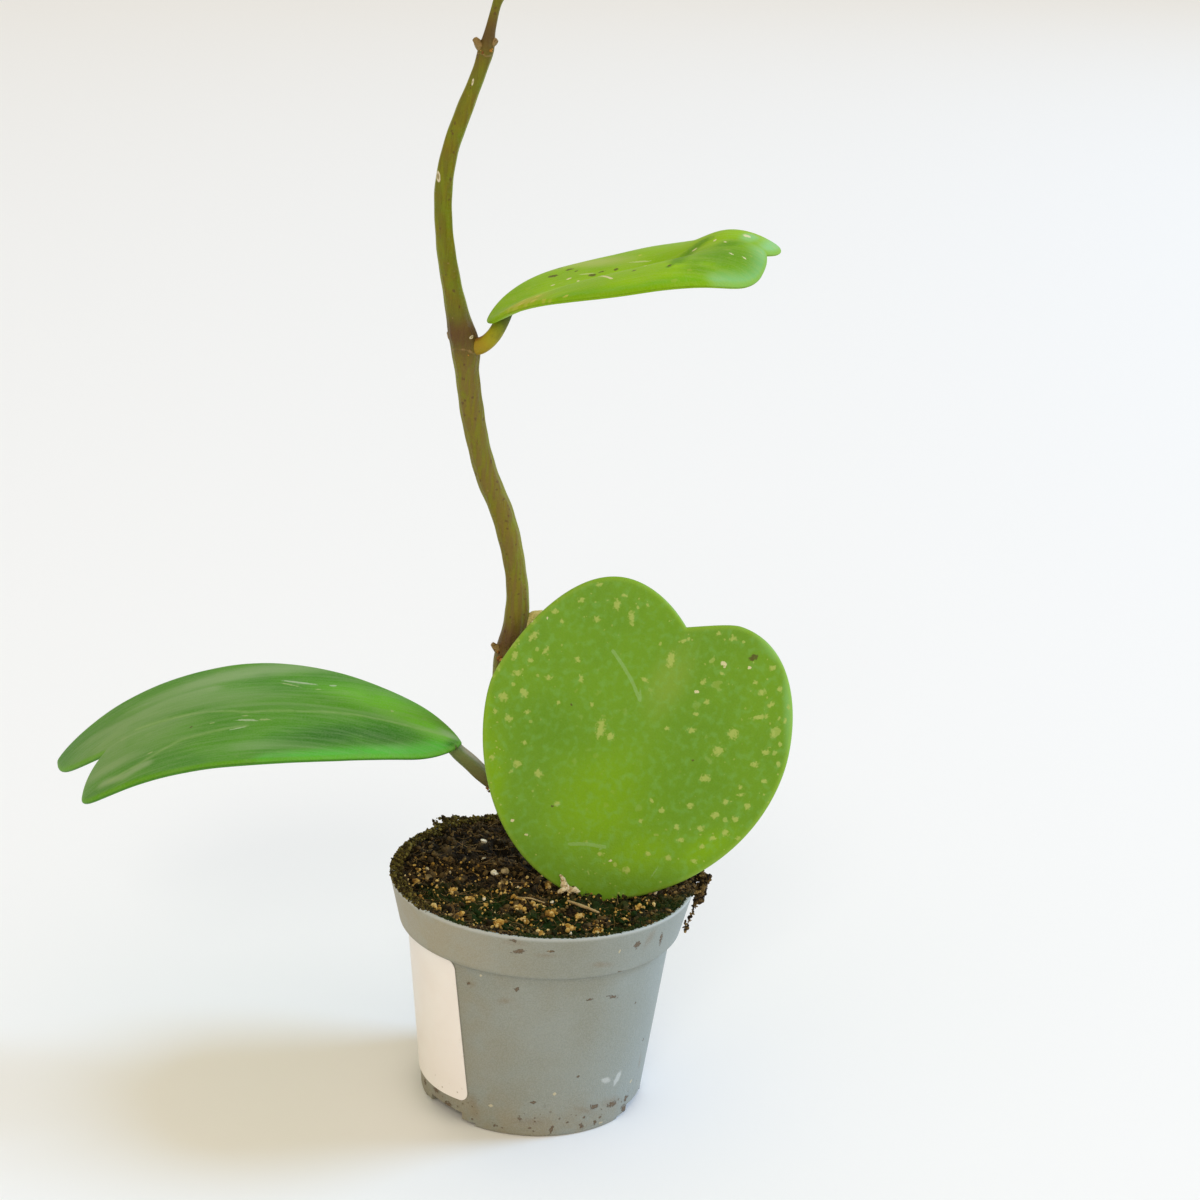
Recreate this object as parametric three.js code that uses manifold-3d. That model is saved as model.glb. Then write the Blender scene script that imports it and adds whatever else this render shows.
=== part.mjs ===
// A young sweetheart hoya: three thick heart-shaped leaves on one wavy stem, in a grey nursery pot.
// Millimetres, +Z up. The origin is the centre of the pot's flat underside.
import * as THREE from "three";
import { mergeVertices } from "three/addons/utils/BufferGeometryUtils.js";
import Module from "manifold-3d";

const wasm = await Module();
wasm.setup();

// ---------------------------------------------------------------- driving dimensions

const gap = 0.3; // between two pieces that touch

const pot = {
  height: 65,
  rimRadius: 42.5,
  collarFootRadius: 39.3,
  collarHeight: 13.3,
  bodyTopRadius: 37,
  baseRadius: 31.2,
  wall: 1.2,
  lip: 1.3, // width of the flat top edge
  floor: 2.3,
  sides: 64,
  feet: 3,
  footCentre: -78, // degrees, seen from above, of the foot that faces the front
  notchWidth: 40, // degrees between two feet
  notchHeight: 1.2,
  notchReach: 8, // how far a notch runs in from the edge
  drainWidth: 24, // degrees
  drainHeight: 3.2,
};

const label = {
  width: 50,
  height: 44,
  corner: 3,
  foot: 6.5, // height of its lower edge above the table
  bearing: -166, // degrees, seen from above
  thickness: 0.35,
  columns: 28,
};

const soil = {
  level: 63.4,
  mound: { x: -24, y: 30, rise: 1.4, spread: 13 },
  dip: { x: 6, y: -30, rise: -1.6, spread: 14 },
  roughness: 0.8,
  rings: 11,
  sectors: 48,
  grains: 46,
  grainRadius: [0.9, 1.9],
  seed: 7,
};

// Clumps that lean over the rim at the right: centre and radius.
const overhang = [
  [39.2, 4.5, 65.2, 2.6],
  [42.6, 3.6, 66.2, 2.3],
  [45.0, 2.5, 64.9, 2.0],
  [44.7, 1.2, 62.2, 1.7],
  [44.1, 0.2, 60.0, 1.5],
];

// The stem's middle line from the cut end in the soil to the tip, as x, y, z and radius.
const stemRoute = [
  [7.5, 1.5, 36, 2.4],
  [6.6, 2.0, 52, 3.0],
  [3.8, 3.6, 63.1, 3.1],
  [0.6, 5.4, 69.6, 3.2],
  [-5.6, 8.2, 78.7, 3.4],
  [-11.0, 10.5, 85.6, 3.9],
  [-12.9, 12.5, 93.3, 3.2],
  [-13.5, 15.0, 104.3, 3.2],
  [-13.7, 18.0, 117.5, 3.4],
  [-12.9, 19.0, 123.2, 3.9],
  [-11.8, 19.5, 129.0, 3.5],
  [-11.3, 19.5, 138.4, 3.2],
  [-13.2, 19.0, 150.9, 3.0],
  [-16.8, 18.0, 163.6, 3.2],
  [-21.4, 17.0, 174.3, 3.1],
  [-25.2, 15.0, 188.0, 3.1],
  [-27.9, 12.5, 203.6, 3.3],
  [-28.7, 11.5, 211.1, 3.9],
  [-30.2, 11.0, 216.2, 3.4],
  [-32.8, 9.5, 227.3, 2.6],
  [-35.0, 8.0, 239.3, 2.4],
  [-35.9, 7.0, 252.4, 2.3],
  [-34.6, 7.0, 262.8, 2.2],
  [-31.7, 7.5, 272.4, 2.1],
  [-28.1, 8.0, 282.9, 1.9],
  [-26.6, 8.0, 288.5, 2.0],
  [-25.6, 8.0, 294.3, 1.3],
  [-24.4, 8.0, 300.1, 1.2],
  [-23.6, 8.1, 302.6, 1.5],
];
const stemSides = 12;
const stemSteps = 78;

// Short dry stubs where older leaf stalks broke off, each from inside the stem to its end.
const stubs = [
  [[-26.8, 8, 288.0, 1.2], [-28.6, 7.4, 290.0, 1.1], [-29.6, 7.1, 291.3, 0.7]],
  [[-26.6, 8, 288.6, 1.2], [-24.9, 7.7, 290.4, 1.0], [-24.1, 7.5, 291.4, 0.7]],
  [[-29.0, 11.6, 210.5, 1.6], [-31.9, 12.6, 213.0, 1.5], [-33.2, 13.2, 214.2, 0.9]],
  [[-13.0, 19, 122.4, 1.5], [-16.2, 17.6, 124.4, 1.2], [-17.6, 17.0, 126.0, 0.6]],
  [[-12.4, 19, 125.5, 1.7], [-9.0, 19.6, 130.4, 1.6], [-6.4, 19.6, 134.0, 1.4]],
  [[-11.6, 10.5, 85.0, 1.6], [-9.0, 13.6, 84.4, 1.5], [-7.8, 15.0, 84.6, 0.9]],
];
const stubSides = 8;

// A blade lies along a spine whose bearing, pitch and roll change from the base (0) to the notch (1):
// each is a polynomial in that fraction, in degrees. A side's outline runs from the base to the notch
// through its widest point and the crown of its lobe, in u along the spine and v across it.
// fold lifts both sides from the middle as a trough, cup curls their edges, and swells raise or
// lower the blade round a point: u, v, rise, and spread along u and v.
const leaves = {
  leaf_large: {
    base: [14.1, -9, 61],
    length: 80.6,
    bearing: [43, 0],
    pitch: [68.6],
    roll: [-44.9],
    fold: [0],
    cup: 0,
    near: -1, // which way round the side with positive v lies
    thickness: 2.7,
    right: {
      baseHandle: [11.1, 27.4],
      widest: [51.3, 38.5],
      widestHandles: [18.7, 11.7],
      crown: [85.6, 14.3],
      crownHandles: [17.9, 2.9],
      notchHandle: [2, 4.9],
    },
    left: {
      baseHandle: [0.5, 33.9],
      widest: [49.6, 46.3],
      widestHandles: [15.5, 5],
      crown: [88.3, 17.9],
      crownHandles: [20, 5.7],
      notchHandle: [5, 5.6],
    },
    swells: [],
    stalk: [[9, -5.5, 40, 2.0], [11.2, -6.6, 51, 2.2], [13.4, -7.4, 60, 1.9]],
    stalkEnd: { u: 8, depth: 1.1, radius: 1.3 },
  },
  leaf_left: {
    base: [-24.5, 7.7, 99.3],
    length: 102,
    bearing: [179, 9.7],
    pitch: [17.9, -24.9, -28.6],
    roll: [-5, 5.9, -1],
    fold: [-0.05],
    cup: 0.065,
    near: 1,
    thickness: 2.7,
    right: {
      baseHandle: [1.5, 10],
      widest: [60.3, 37.5],
      widestHandles: [30.6, 27],
      crown: [109, 22.2],
      crownHandles: [9.2, 10],
      notchHandle: [4.2, 5.5],
    },
    left: {
      baseHandle: [5.1, 10],
      widest: [67.7, 33],
      widestHandles: [30.6, 29],
      crown: [120.5, 25.9],
      crownHandles: [4.3, 11.6],
      notchHandle: [11.1, 6.5],
    },
    swells: [],
    stalk: [
      [-11.4, 10.4, 86.0, 2.3],
      [-15.2, 9.7, 87.8, 2.3],
      [-18.6, 9.3, 90.4, 2.3],
      [-21.6, 8.9, 93.3, 2.3],
      [-24.8, 8.5, 96.0, 2.2],
      [-27.6, 8.3, 98.4, 2.0],
    ],
    stalkEnd: { u: 10, depth: 1.4, radius: 1.4 },
  },
  leaf_right: {
    base: [-23, 7.9, 218.3],
    length: 76.8,
    bearing: [4.3, -12.1],
    pitch: [36.9, -131, 332, -260],
    roll: [-2, 22.1, -24.1],
    fold: [0.35, 0, -0.29],
    cup: -0.27,
    near: -1,
    thickness: 2.5,
    right: {
      baseHandle: [3.8, 7.2],
      widest: [41.9, 39.6],
      widestHandles: [23, 20],
      crown: [78.3, 15.6],
      crownHandles: [14.4, 7],
      notchHandle: [0.9, 3.9],
    },
    left: {
      baseHandle: [3.8, 6.7],
      widest: [49.4, 36.6],
      widestHandles: [23, 16.7],
      crown: [79.8, 14.1],
      crownHandles: [13.5, 6.3],
      notchHandle: [1.8, 3.5],
    },
    swells: [[46, 4, -4, 12, 10], [57, -20, -1.4, 11, 15], [66, -9, 2.2, 8.5, 12]],
    stalk: [
      [-28.7, 11.4, 211.1, 2.2],
      [-25.2, 10.4, 211.2, 2.3],
      [-22.9, 9.8, 212.5, 2.1],
      [-21.1, 9.3, 214.6, 2.0],
      [-19.7, 9.0, 217.2, 1.9],
    ],
    stalkEnd: { u: 6, depth: 0.6, radius: 1.3 },
  },
};
const troughRound = 6; // half-width of the rounded bottom of a folded blade's trough
const cupSpan = 40; // distance from the middle at which an edge lifts by cup times that distance
const rimShare = 0.42; // share of a blade's thickness that is left at its very edge
const bladeRings = [0.3, 0.55, 0.75, 0.88, 0.96, 1];
const bladeSegments = [9, 8, 6]; // along the three stretches of each side's outline
const stalkSides = 10;

// ---------------------------------------------------------------- shared helpers

const radians = THREE.MathUtils.degToRad;

// A closed geometry as a solid that can be joined and cut.
function solid(geometry) {
  const flat = geometry.index ? geometry.toNonIndexed() : geometry;
  const bare = new THREE.BufferGeometry();
  bare.setAttribute("position", flat.getAttribute("position"));
  const merged = mergeVertices(bare, 1e-4);
  const vertProperties = merged.attributes.position.array;
  const triVerts = new Uint32Array(merged.index.array);
  return new wasm.Manifold(new wasm.Mesh({ numProp: 3, vertProperties, triVerts }));
}

// The largest body of a solid: scraps that a cut leaves behind are dropped.
function mainBody(made) {
  const bodies = made.decompose();
  return bodies.reduce((best, body) => (body.volume() > best.volume() ? body : best));
}

// A solid as a named mesh with its own material.
function mesh(name, made, look) {
  const { numProp, numVert, vertProperties, triVerts } = made.getMesh();
  const positions = new Float32Array(numVert * 3);
  for (let i = 0; i < numVert; i += 1) {
    positions.set(vertProperties.subarray(i * numProp, i * numProp + 3), i * 3);
  }
  const geometry = new THREE.BufferGeometry();
  geometry.setAttribute("position", new THREE.BufferAttribute(positions, 3));
  geometry.setIndex(new THREE.BufferAttribute(triVerts, 1));
  geometry.computeVertexNormals();
  const piece = new THREE.Mesh(geometry, new THREE.MeshStandardMaterial(look));
  piece.name = name;
  return piece;
}

// A repeatable series of numbers from 0 to 1.
function randomSeries(seed) {
  let state = seed;
  return () => {
    state = (state * 16807) % 2147483647;
    return state / 2147483647;
  };
}

// A polynomial with the given coefficients, lowest first.
const polynomial = (terms, t) => terms.reduce((sum, term, power) => sum + term * t ** power, 0);

// A surface of revolution about Z from a profile of [radius, height] pairs.
function revolve(profile, sides) {
  const points = profile.map(([radius, height]) => new THREE.Vector2(radius, height));
  return new THREE.LatheGeometry(points, sides).rotateX(Math.PI / 2);
}

// A tube of changing radius along points of [x, y, z, radius], closed at both ends.
function taperedTube(route, sides, steps, grow = 0) {
  const centres = route.map(([x, y, z]) => new THREE.Vector3(x, y, z));
  const line = new THREE.CatmullRomCurve3(centres).getPoints(steps);
  const sizes = route.map((point, i) => new THREE.Vector2(i, point[3]));
  const radii = new THREE.SplineCurve(sizes).getPoints(steps);
  const positions = [];
  const side = new THREE.Vector3(1, 0, 0);
  line.forEach((centre, i) => {
    const before = line[Math.max(i - 1, 0)];
    const after = line[Math.min(i + 1, steps)];
    const tangent = after.clone().sub(before).normalize();
    side.addScaledVector(tangent, -side.dot(tangent)).normalize();
    const other = tangent.clone().cross(side);
    const radius = radii[i].y + grow;
    for (let k = 0; k < sides; k += 1) {
      const angle = (2 * Math.PI * k) / sides;
      const point = centre.clone();
      point.addScaledVector(side, radius * Math.cos(angle));
      point.addScaledVector(other, radius * Math.sin(angle));
      positions.push(...point.toArray());
    }
  });
  const firstCentre = positions.length / 3;
  positions.push(...line[0].toArray(), ...line[steps].toArray());
  const faces = [];
  for (let k = 0; k < sides; k += 1) {
    const next = (k + 1) % sides;
    faces.push(firstCentre, next, k);
    const end = steps * sides;
    faces.push(firstCentre + 1, end + k, end + next);
    for (let i = 0; i < steps; i += 1) {
      const here = i * sides;
      const there = here + sides;
      faces.push(here + k, here + next, there + next);
      faces.push(here + k, there + next, there + k);
    }
  }
  return indexed(positions, faces);
}

// A geometry from flat lists of coordinates and of vertex numbers.
function indexed(positions, faces) {
  const geometry = new THREE.BufferGeometry();
  geometry.setAttribute("position", new THREE.Float32BufferAttribute(positions, 3));
  geometry.setIndex(faces);
  return geometry;
}

// ---------------------------------------------------------------- pot and label

const bodyHeight = pot.height - pot.collarHeight;
const bodySlope = (pot.bodyTopRadius - pot.baseRadius) / bodyHeight;
const collarSlope = (pot.rimRadius - pot.collarFootRadius) / pot.collarHeight;

// The inner wall from the floor up to the lip, moved inwards by a clearance.
function innerWall(clearance) {
  const wall = pot.wall + clearance;
  const floor = pot.floor + clearance;
  const step = bodyHeight + pot.wall + clearance;
  return [
    [pot.baseRadius + bodySlope * floor - wall, floor],
    [pot.bodyTopRadius - wall, step],
    [pot.collarFootRadius + collarSlope * (step - bodyHeight) - wall, step + 0.4],
    [pot.rimRadius - pot.lip - clearance, pot.height],
  ];
}

// A block between two radii over an arc, for the notches between the feet and the drain slots.
function arcBlock(centre, width, inner, outer, bottom, top) {
  const from = radians(centre - width / 2);
  const to = radians(centre + width / 2);
  const shape = new THREE.Shape();
  shape.absarc(0, 0, outer, from, to, false);
  shape.absarc(0, 0, inner, to, from, true);
  shape.closePath();
  const options = { depth: top - bottom, bevelEnabled: false, curveSegments: 6 };
  return solid(new THREE.ExtrudeGeometry(shape, options).translate(0, 0, bottom));
}

function potSolid() {
  const edge = 0.5; // radius of the softened corners
  const outside = [
    [0, 0],
    [pot.baseRadius - edge, 0],
    [pot.baseRadius, edge],
    [pot.bodyTopRadius, bodyHeight],
    [pot.collarFootRadius - edge, bodyHeight],
    [pot.collarFootRadius, bodyHeight + edge],
    [pot.rimRadius, pot.height - edge],
    [pot.rimRadius - 0.3, pot.height],
  ];
  const inside = innerWall(0).reverse();
  const profile = [...outside, ...inside, [0, pot.floor]];
  let made = solid(revolve(profile, pot.sides));
  const outer = pot.baseRadius + 3;
  for (let i = 0; i < pot.feet; i += 1) {
    const centre = pot.footCentre + (360 / pot.feet) * (i + 0.5);
    const inner = pot.baseRadius - pot.notchReach;
    made = made.subtract(arcBlock(centre, pot.notchWidth, inner, outer, -1, pot.notchHeight));
    const drainInner = pot.baseRadius - pot.wall - 2.5;
    made = made.subtract(arcBlock(centre, pot.drainWidth, drainInner, outer, -1, pot.drainHeight));
  }
  return made;
}

// A paper sticker: a flat rectangle with round corners, rolled onto the tapering body.
function labelSolid() {
  const taper = Math.atan(bodySlope);
  const footRadius = pot.baseRadius + bodySlope * label.foot;
  const apex = footRadius / Math.sin(taper); // slant distance from the cone's apex to the lower edge
  const rolled = (x, y, lift) => {
    const slant = Math.hypot(apex + y, x);
    const turn = radians(label.bearing) + Math.atan2(x, apex + y) / Math.sin(taper);
    const radius = slant * Math.sin(taper) + lift * Math.cos(taper);
    const height = (slant * Math.sin(taper) - pot.baseRadius) / bodySlope - lift * Math.sin(taper);
    return [radius * Math.cos(turn), radius * Math.sin(turn), height];
  };
  const positions = [];
  const rows = 4;
  for (let i = 0; i <= label.columns; i += 1) {
    const x = -0.5 * label.width * Math.cos((Math.PI * i) / label.columns);
    const intoCorner = Math.max(Math.abs(x) - (label.width / 2 - label.corner), 0);
    const trim = label.corner - Math.sqrt(Math.max(label.corner ** 2 - intoCorner ** 2, 0));
    for (const lift of [gap, gap + label.thickness]) {
      for (let j = 0; j <= rows; j += 1) {
        const y = trim + ((label.height - 2 * trim) * j) / rows;
        positions.push(...rolled(x, y, lift));
      }
    }
  }
  const ring = 2 * (rows + 1);
  const around = (k) => (k <= rows ? rows - k : k); // down the back, then up the front
  const faces = [];
  for (let i = 0; i < label.columns; i += 1) {
    for (let k = 0; k < ring; k += 1) {
      const a = i * ring + around(k);
      const b = i * ring + around((k + 1) % ring);
      faces.push(a, a + ring, b + ring, a, b + ring, b);
    }
  }
  const last = label.columns * ring;
  for (let k = 1; k < ring - 1; k += 1) {
    faces.push(around(0), around(k), around(k + 1));
    faces.push(last + around(0), last + around(k + 1), last + around(k));
  }
  return solid(indexed(positions, faces));
}

// ---------------------------------------------------------------- soil

// The height of the soil's surface: a level with a mound and a dip, and an uneven wave of a few lengths.
function soilHeight(x, y) {
  const hump = ({ x: cx, y: cy, rise, spread }) =>
    rise * Math.exp(-((x - cx) ** 2 + (y - cy) ** 2) / (2 * spread ** 2));
  const coarse = Math.sin(0.31 * x + 1.3) * Math.cos(0.27 * y - 0.4);
  const fine = Math.sin(0.93 * x - 0.71 * y) + Math.cos(1.07 * y + 0.63 * x + 2.1);
  const rough = soil.roughness * (0.7 * coarse + 0.45 * fine);
  return soil.level + hump(soil.mound) + hump(soil.dip) + rough;
}

// The soil's body: an uneven top, and sides that follow the inner wall of the pot.
function soilBody() {
  const wall = innerWall(gap);
  const top = wall[3];
  const step = wall[2];
  const radiusAt = (height) => {
    const share = THREE.MathUtils.clamp((height - step[1]) / (top[1] - step[1]), 0, 1);
    return THREE.MathUtils.lerp(step[0], top[0], share) - 0.1;
  };
  const positions = [0, 0, soilHeight(0, 0)];
  for (let i = 1; i <= soil.rings; i += 1) {
    for (let k = 0; k < soil.sectors; k += 1) {
      const angle = (2 * Math.PI * k) / soil.sectors;
      const edgeHeight = soilHeight(top[0] * Math.cos(angle), top[0] * Math.sin(angle));
      const radius = (radiusAt(edgeHeight) * i) / soil.rings;
      const x = radius * Math.cos(angle);
      const y = radius * Math.sin(angle);
      positions.push(x, y, soilHeight(x, y));
    }
  }
  const depths = [step, wall[1], wall[0]];
  for (const [radius, height] of depths) {
    for (let k = 0; k < soil.sectors; k += 1) {
      const angle = (2 * Math.PI * k) / soil.sectors;
      positions.push((radius - 0.1) * Math.cos(angle), (radius - 0.1) * Math.sin(angle), height);
    }
  }
  positions.push(0, 0, wall[0][1]);
  const faces = [];
  const rings = soil.rings + depths.length;
  const bottom = positions.length / 3 - 1;
  for (let k = 0; k < soil.sectors; k += 1) {
    const next = (k + 1) % soil.sectors;
    faces.push(0, 1 + k, 1 + next);
    for (let i = 0; i < rings - 1; i += 1) {
      const here = 1 + i * soil.sectors;
      const there = here + soil.sectors;
      faces.push(here + k, there + k, there + next, here + k, there + next, here + next);
    }
    const last = 1 + (rings - 1) * soil.sectors;
    faces.push(bottom, last + next, last + k);
  }
  return solid(indexed(positions, faces));
}

// A lump with uneven faces.
function lump(x, y, z, radius, detail, random) {
  const made = new THREE.IcosahedronGeometry(radius, detail);
  made.scale(0.85 + 0.3 * random(), 0.85 + 0.3 * random(), 0.75 + 0.25 * random());
  made.rotateZ(Math.PI * random()).rotateX(Math.PI * random());
  return solid(made.translate(x, y, z));
}

// The space that the pot's collar takes, with clearance all round, for cutting what leans over it.
function collarSleeve() {
  const clear = gap + 0.05;
  const low = bodyHeight - 8; // below the lowest clump
  const top = pot.height + gap;
  const inward = pot.collarFootRadius - 6; // well inside the soil's own edge
  const outward = (height) => pot.collarFootRadius + collarSlope * (height - bodyHeight) + clear;
  const lipInside = pot.rimRadius - pot.lip - clear;
  const profile = [
    [inward, low],
    [outward(low), low],
    [outward(top), top],
    [lipInside, top],
    [lipInside, pot.height],
    [inward, low + 1],
    [inward, low],
  ];
  return solid(revolve(profile, pot.sides));
}

function soilSolid(stemHole, leafHole) {
  const random = randomSeries(soil.seed);
  const [smallest, largest] = soil.grainRadius;
  let clumps = lump(...overhang[0], 1, random);
  for (const clump of overhang.slice(1)) {
    clumps = clumps.add(lump(...clump, 1, random));
  }
  let made = soilBody().add(clumps.subtract(collarSleeve()));
  const goldenAngle = Math.PI * (3 - Math.sqrt(5));
  const reach = pot.rimRadius - pot.lip - 3.2;
  for (let i = 0; i < soil.grains; i += 1) {
    const distance = reach * Math.sqrt((i + 0.5) / soil.grains);
    const angle = i * goldenAngle + 0.6 * random();
    const radius = smallest + (largest - smallest) * random() ** 2;
    const x = distance * Math.cos(angle);
    const y = distance * Math.sin(angle);
    made = made.add(lump(x, y, soilHeight(x, y) + 0.25 * radius, radius, 0, random));
  }
  return mainBody(made.subtract(stemHole).subtract(leafHole));
}

// ---------------------------------------------------------------- stem

function stemSolid(grow = 0) {
  let made = solid(taperedTube(stemRoute, stemSides, stemSteps, grow));
  for (const stub of stubs) {
    made = made.add(solid(taperedTube(stub, stubSides, 3, grow)));
  }
  return made;
}

// ---------------------------------------------------------------- leaves

// Places a point of the flat blade (u along the spine, v across, height off the middle surface) in space.
function bladePlacer(leaf) {
  const reach = 1.3 * leaf.length;
  const steps = 60;
  const direction = (t) => {
    const pitch = radians(polynomial(leaf.pitch, t));
    const bearing = radians(polynomial(leaf.bearing, t));
    const flat = Math.cos(pitch);
    return new THREE.Vector3(flat * Math.cos(bearing), flat * Math.sin(bearing), Math.sin(pitch));
  };
  const spine = [new THREE.Vector3(...leaf.base)];
  for (let i = 0; i < steps; i += 1) {
    const middle = ((i + 0.5) * reach) / steps / leaf.length;
    spine.push(spine[i].clone().addScaledVector(direction(middle), reach / steps));
  }
  return (u, v, height) => {
    const t = u / leaf.length;
    const at = THREE.MathUtils.clamp((u / reach) * steps, 0, steps - 1e-6);
    const i = Math.floor(at);
    const point = spine[i].clone().lerp(spine[i + 1], at - i);
    const forward = direction(t);
    if (u < 0) point.addScaledVector(forward, u);
    const bearing = radians(polynomial(leaf.bearing, t));
    const level = new THREE.Vector3(-Math.sin(bearing), Math.cos(bearing), 0).multiplyScalar(leaf.near);
    const up = forward.clone().cross(level);
    up.multiplyScalar(Math.sign(up.z));
    const roll = radians(polynomial(leaf.roll, t));
    const across = level.clone().multiplyScalar(Math.cos(roll)).addScaledVector(up, Math.sin(roll));
    const normal = up.clone().multiplyScalar(Math.cos(roll)).addScaledVector(level, -Math.sin(roll));
    const fold = polynomial(leaf.fold, t);
    const trough = fold * (Math.hypot(v, troughRound) - troughRound);
    let lift = trough + (leaf.cup * v * v) / cupSpan;
    for (const [atU, atV, rise, spreadU, spreadV] of leaf.swells) {
      lift += rise * Math.exp(-(((u - atU) / spreadU) ** 2) - ((v - atV) / spreadV) ** 2);
    }
    point.addScaledVector(across, v / Math.hypot(1, fold));
    return point.addScaledVector(normal, lift + height);
  };
}

// One side's outline, from the base to the notch.
function sideOutline(side, length) {
  const [u, v] = side.widest;
  const [crownU, crownV] = side.crown;
  const notch = new THREE.Vector2(length, 0);
  const base = new THREE.Vector2(0, 0);
  const widest = new THREE.Vector2(u, v);
  const crown = new THREE.Vector2(crownU, crownV);
  const stretches = [
    [base, new THREE.Vector2(...side.baseHandle), new THREE.Vector2(u - side.widestHandles[0], v), widest],
    [
      widest,
      new THREE.Vector2(u + side.widestHandles[1], v),
      new THREE.Vector2(crownU, crownV + side.crownHandles[0]),
      crown,
    ],
    [
      crown,
      new THREE.Vector2(crownU, crownV - side.crownHandles[1]),
      new THREE.Vector2(...side.notchHandle).add(notch),
      notch,
    ],
  ];
  return stretches.flatMap((points, i) => {
    const curve = new THREE.CubicBezierCurve(...points);
    return curve.getPoints(bladeSegments[i]).slice(i ? 1 : 0);
  });
}

// A thick blade with a rounded rim. Both faces have the same triangles.
function bladeSolid(leaf, grow) {
  const place = bladePlacer(leaf);
  const right = sideOutline(leaf.right, leaf.length);
  const left = sideOutline(leaf.left, leaf.length).map((point) => new THREE.Vector2(point.x, -point.y));
  const rim = [...right, ...left.slice(1, -1).reverse()];
  const centre = new THREE.Vector2(0.5 * leaf.length, 0);
  const positions = [];
  for (const face of [1, -1]) {
    const thickest = 0.5 * leaf.thickness + grow;
    positions.push(...place(centre.x, centre.y, face * thickest).toArray());
    for (const share of bladeRings) {
      for (const point of rim) {
        const out = point.clone().sub(centre);
        out.multiplyScalar(share * (1 + grow / out.length()));
        const thinned = rimShare + (1 - rimShare) * Math.sqrt(1 - share ** 8);
        positions.push(...place(centre.x + out.x, out.y, face * thickest * thinned).toArray());
      }
    }
  }
  const count = rim.length;
  const below = 1 + bladeRings.length * count;
  const faces = [];
  const triangle = (a, b, c) => {
    faces.push(a, b, c);
    faces.push(below + a, below + c, below + b);
  };
  for (let k = 0; k < count; k += 1) {
    const next = (k + 1) % count;
    triangle(0, 1 + k, 1 + next);
    for (let i = 0; i < bladeRings.length - 1; i += 1) {
      const here = 1 + i * count;
      const there = here + count;
      triangle(here + k, there + k, there + next);
      triangle(here + k, there + next, here + next);
    }
    const edge = 1 + (bladeRings.length - 1) * count;
    faces.push(edge + k, below + edge + k, below + edge + next);
    faces.push(edge + k, below + edge + next, edge + next);
  }
  if (leaf.near > 0) faces.reverse(); // the sides are the other way round, and so are the faces
  return solid(indexed(positions, faces));
}

function leafSolid(leaf, grow = 0) {
  const { u, depth, radius } = leaf.stalkEnd;
  const end = bladePlacer(leaf)(u, 0, -depth).toArray();
  const route = [...leaf.stalk, [...end, radius]];
  const stalk = solid(taperedTube(route, stalkSides, 12, grow));
  return bladeSolid(leaf, grow).add(stalk);
}

// ---------------------------------------------------------------- the plant in its pot

const looks = {
  pot: { color: 0x979c97, roughness: 0.6, metalness: 0 },
  label: { color: 0xe8ded2, roughness: 0.55, metalness: 0 },
  soil: { color: 0x2e231a, roughness: 0.95, metalness: 0 },
  stem: { color: 0x6f6a2e, roughness: 0.6, metalness: 0 },
  leaf_large: { color: 0x67a129, roughness: 0.4, metalness: 0 },
  leaf_left: { color: 0x4f8f3f, roughness: 0.45, metalness: 0 },
  leaf_right: { color: 0x7cb52a, roughness: 0.4, metalness: 0 },
};

const stem = stemSolid();
const stemSpace = stemSolid(gap);
const root = new THREE.Group();
root.add(mesh("pot", potSolid(), looks.pot));
root.add(mesh("label", labelSolid(), looks.label));
root.add(mesh("soil", soilSolid(stemSpace, leafSolid(leaves.leaf_large, gap)), looks.soil));
root.add(mesh("stem", stem, looks.stem));
for (const [name, leaf] of Object.entries(leaves)) {
  root.add(mesh(name, mainBody(leafSolid(leaf).subtract(stemSpace)), looks[name]));
}

export default root;
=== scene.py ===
import math

import bmesh
import bpy
import numpy as np
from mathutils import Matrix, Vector, kdtree, noise


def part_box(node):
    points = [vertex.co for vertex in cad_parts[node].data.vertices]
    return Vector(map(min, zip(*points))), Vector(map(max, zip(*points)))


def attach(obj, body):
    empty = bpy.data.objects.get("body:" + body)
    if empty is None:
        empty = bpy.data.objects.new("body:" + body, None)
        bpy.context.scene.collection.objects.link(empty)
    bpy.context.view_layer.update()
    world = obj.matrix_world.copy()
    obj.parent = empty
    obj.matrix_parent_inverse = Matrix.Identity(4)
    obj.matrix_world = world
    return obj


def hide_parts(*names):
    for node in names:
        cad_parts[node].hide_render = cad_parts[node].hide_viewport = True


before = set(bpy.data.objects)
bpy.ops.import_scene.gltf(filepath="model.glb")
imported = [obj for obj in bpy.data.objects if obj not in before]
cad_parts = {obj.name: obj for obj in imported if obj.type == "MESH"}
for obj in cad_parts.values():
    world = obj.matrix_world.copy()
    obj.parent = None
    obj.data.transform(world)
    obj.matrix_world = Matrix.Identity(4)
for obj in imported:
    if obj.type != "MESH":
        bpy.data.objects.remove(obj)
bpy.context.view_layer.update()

# A young sweetheart hoya in a grey nursery pot. Shapes are worked out in millimetres and
# turned into metres where a piece is made. Marks are placed by the photograph's pixels,
# in a frame of 1200 by 1200, and land on the surface that the camera sees there.

metres = 0.001
scene = bpy.context.scene


def easeStep(low, high, value):
    share = np.clip((value - low) / (high - low), 0, 1)
    return share * share * (3 - 2 * share)


def paint(red, green, blue):  # a colour as the eye sees it, from 0 to 255, for a shader
    parts = [((part / 255 + 0.055) / 1.055) ** 2.4 for part in (red, green, blue)]
    return (*parts, 1)


def noiseAt(points, size, seed=0.0):  # smooth noise from about -1 to 1, of lumps of that size
    shift = Vector((seed * 17.3, seed * -9.1, seed * 5.7))
    return np.array([noise.noise(Vector(p) / size + shift) for p in points.tolist()]) * 1.6


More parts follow.
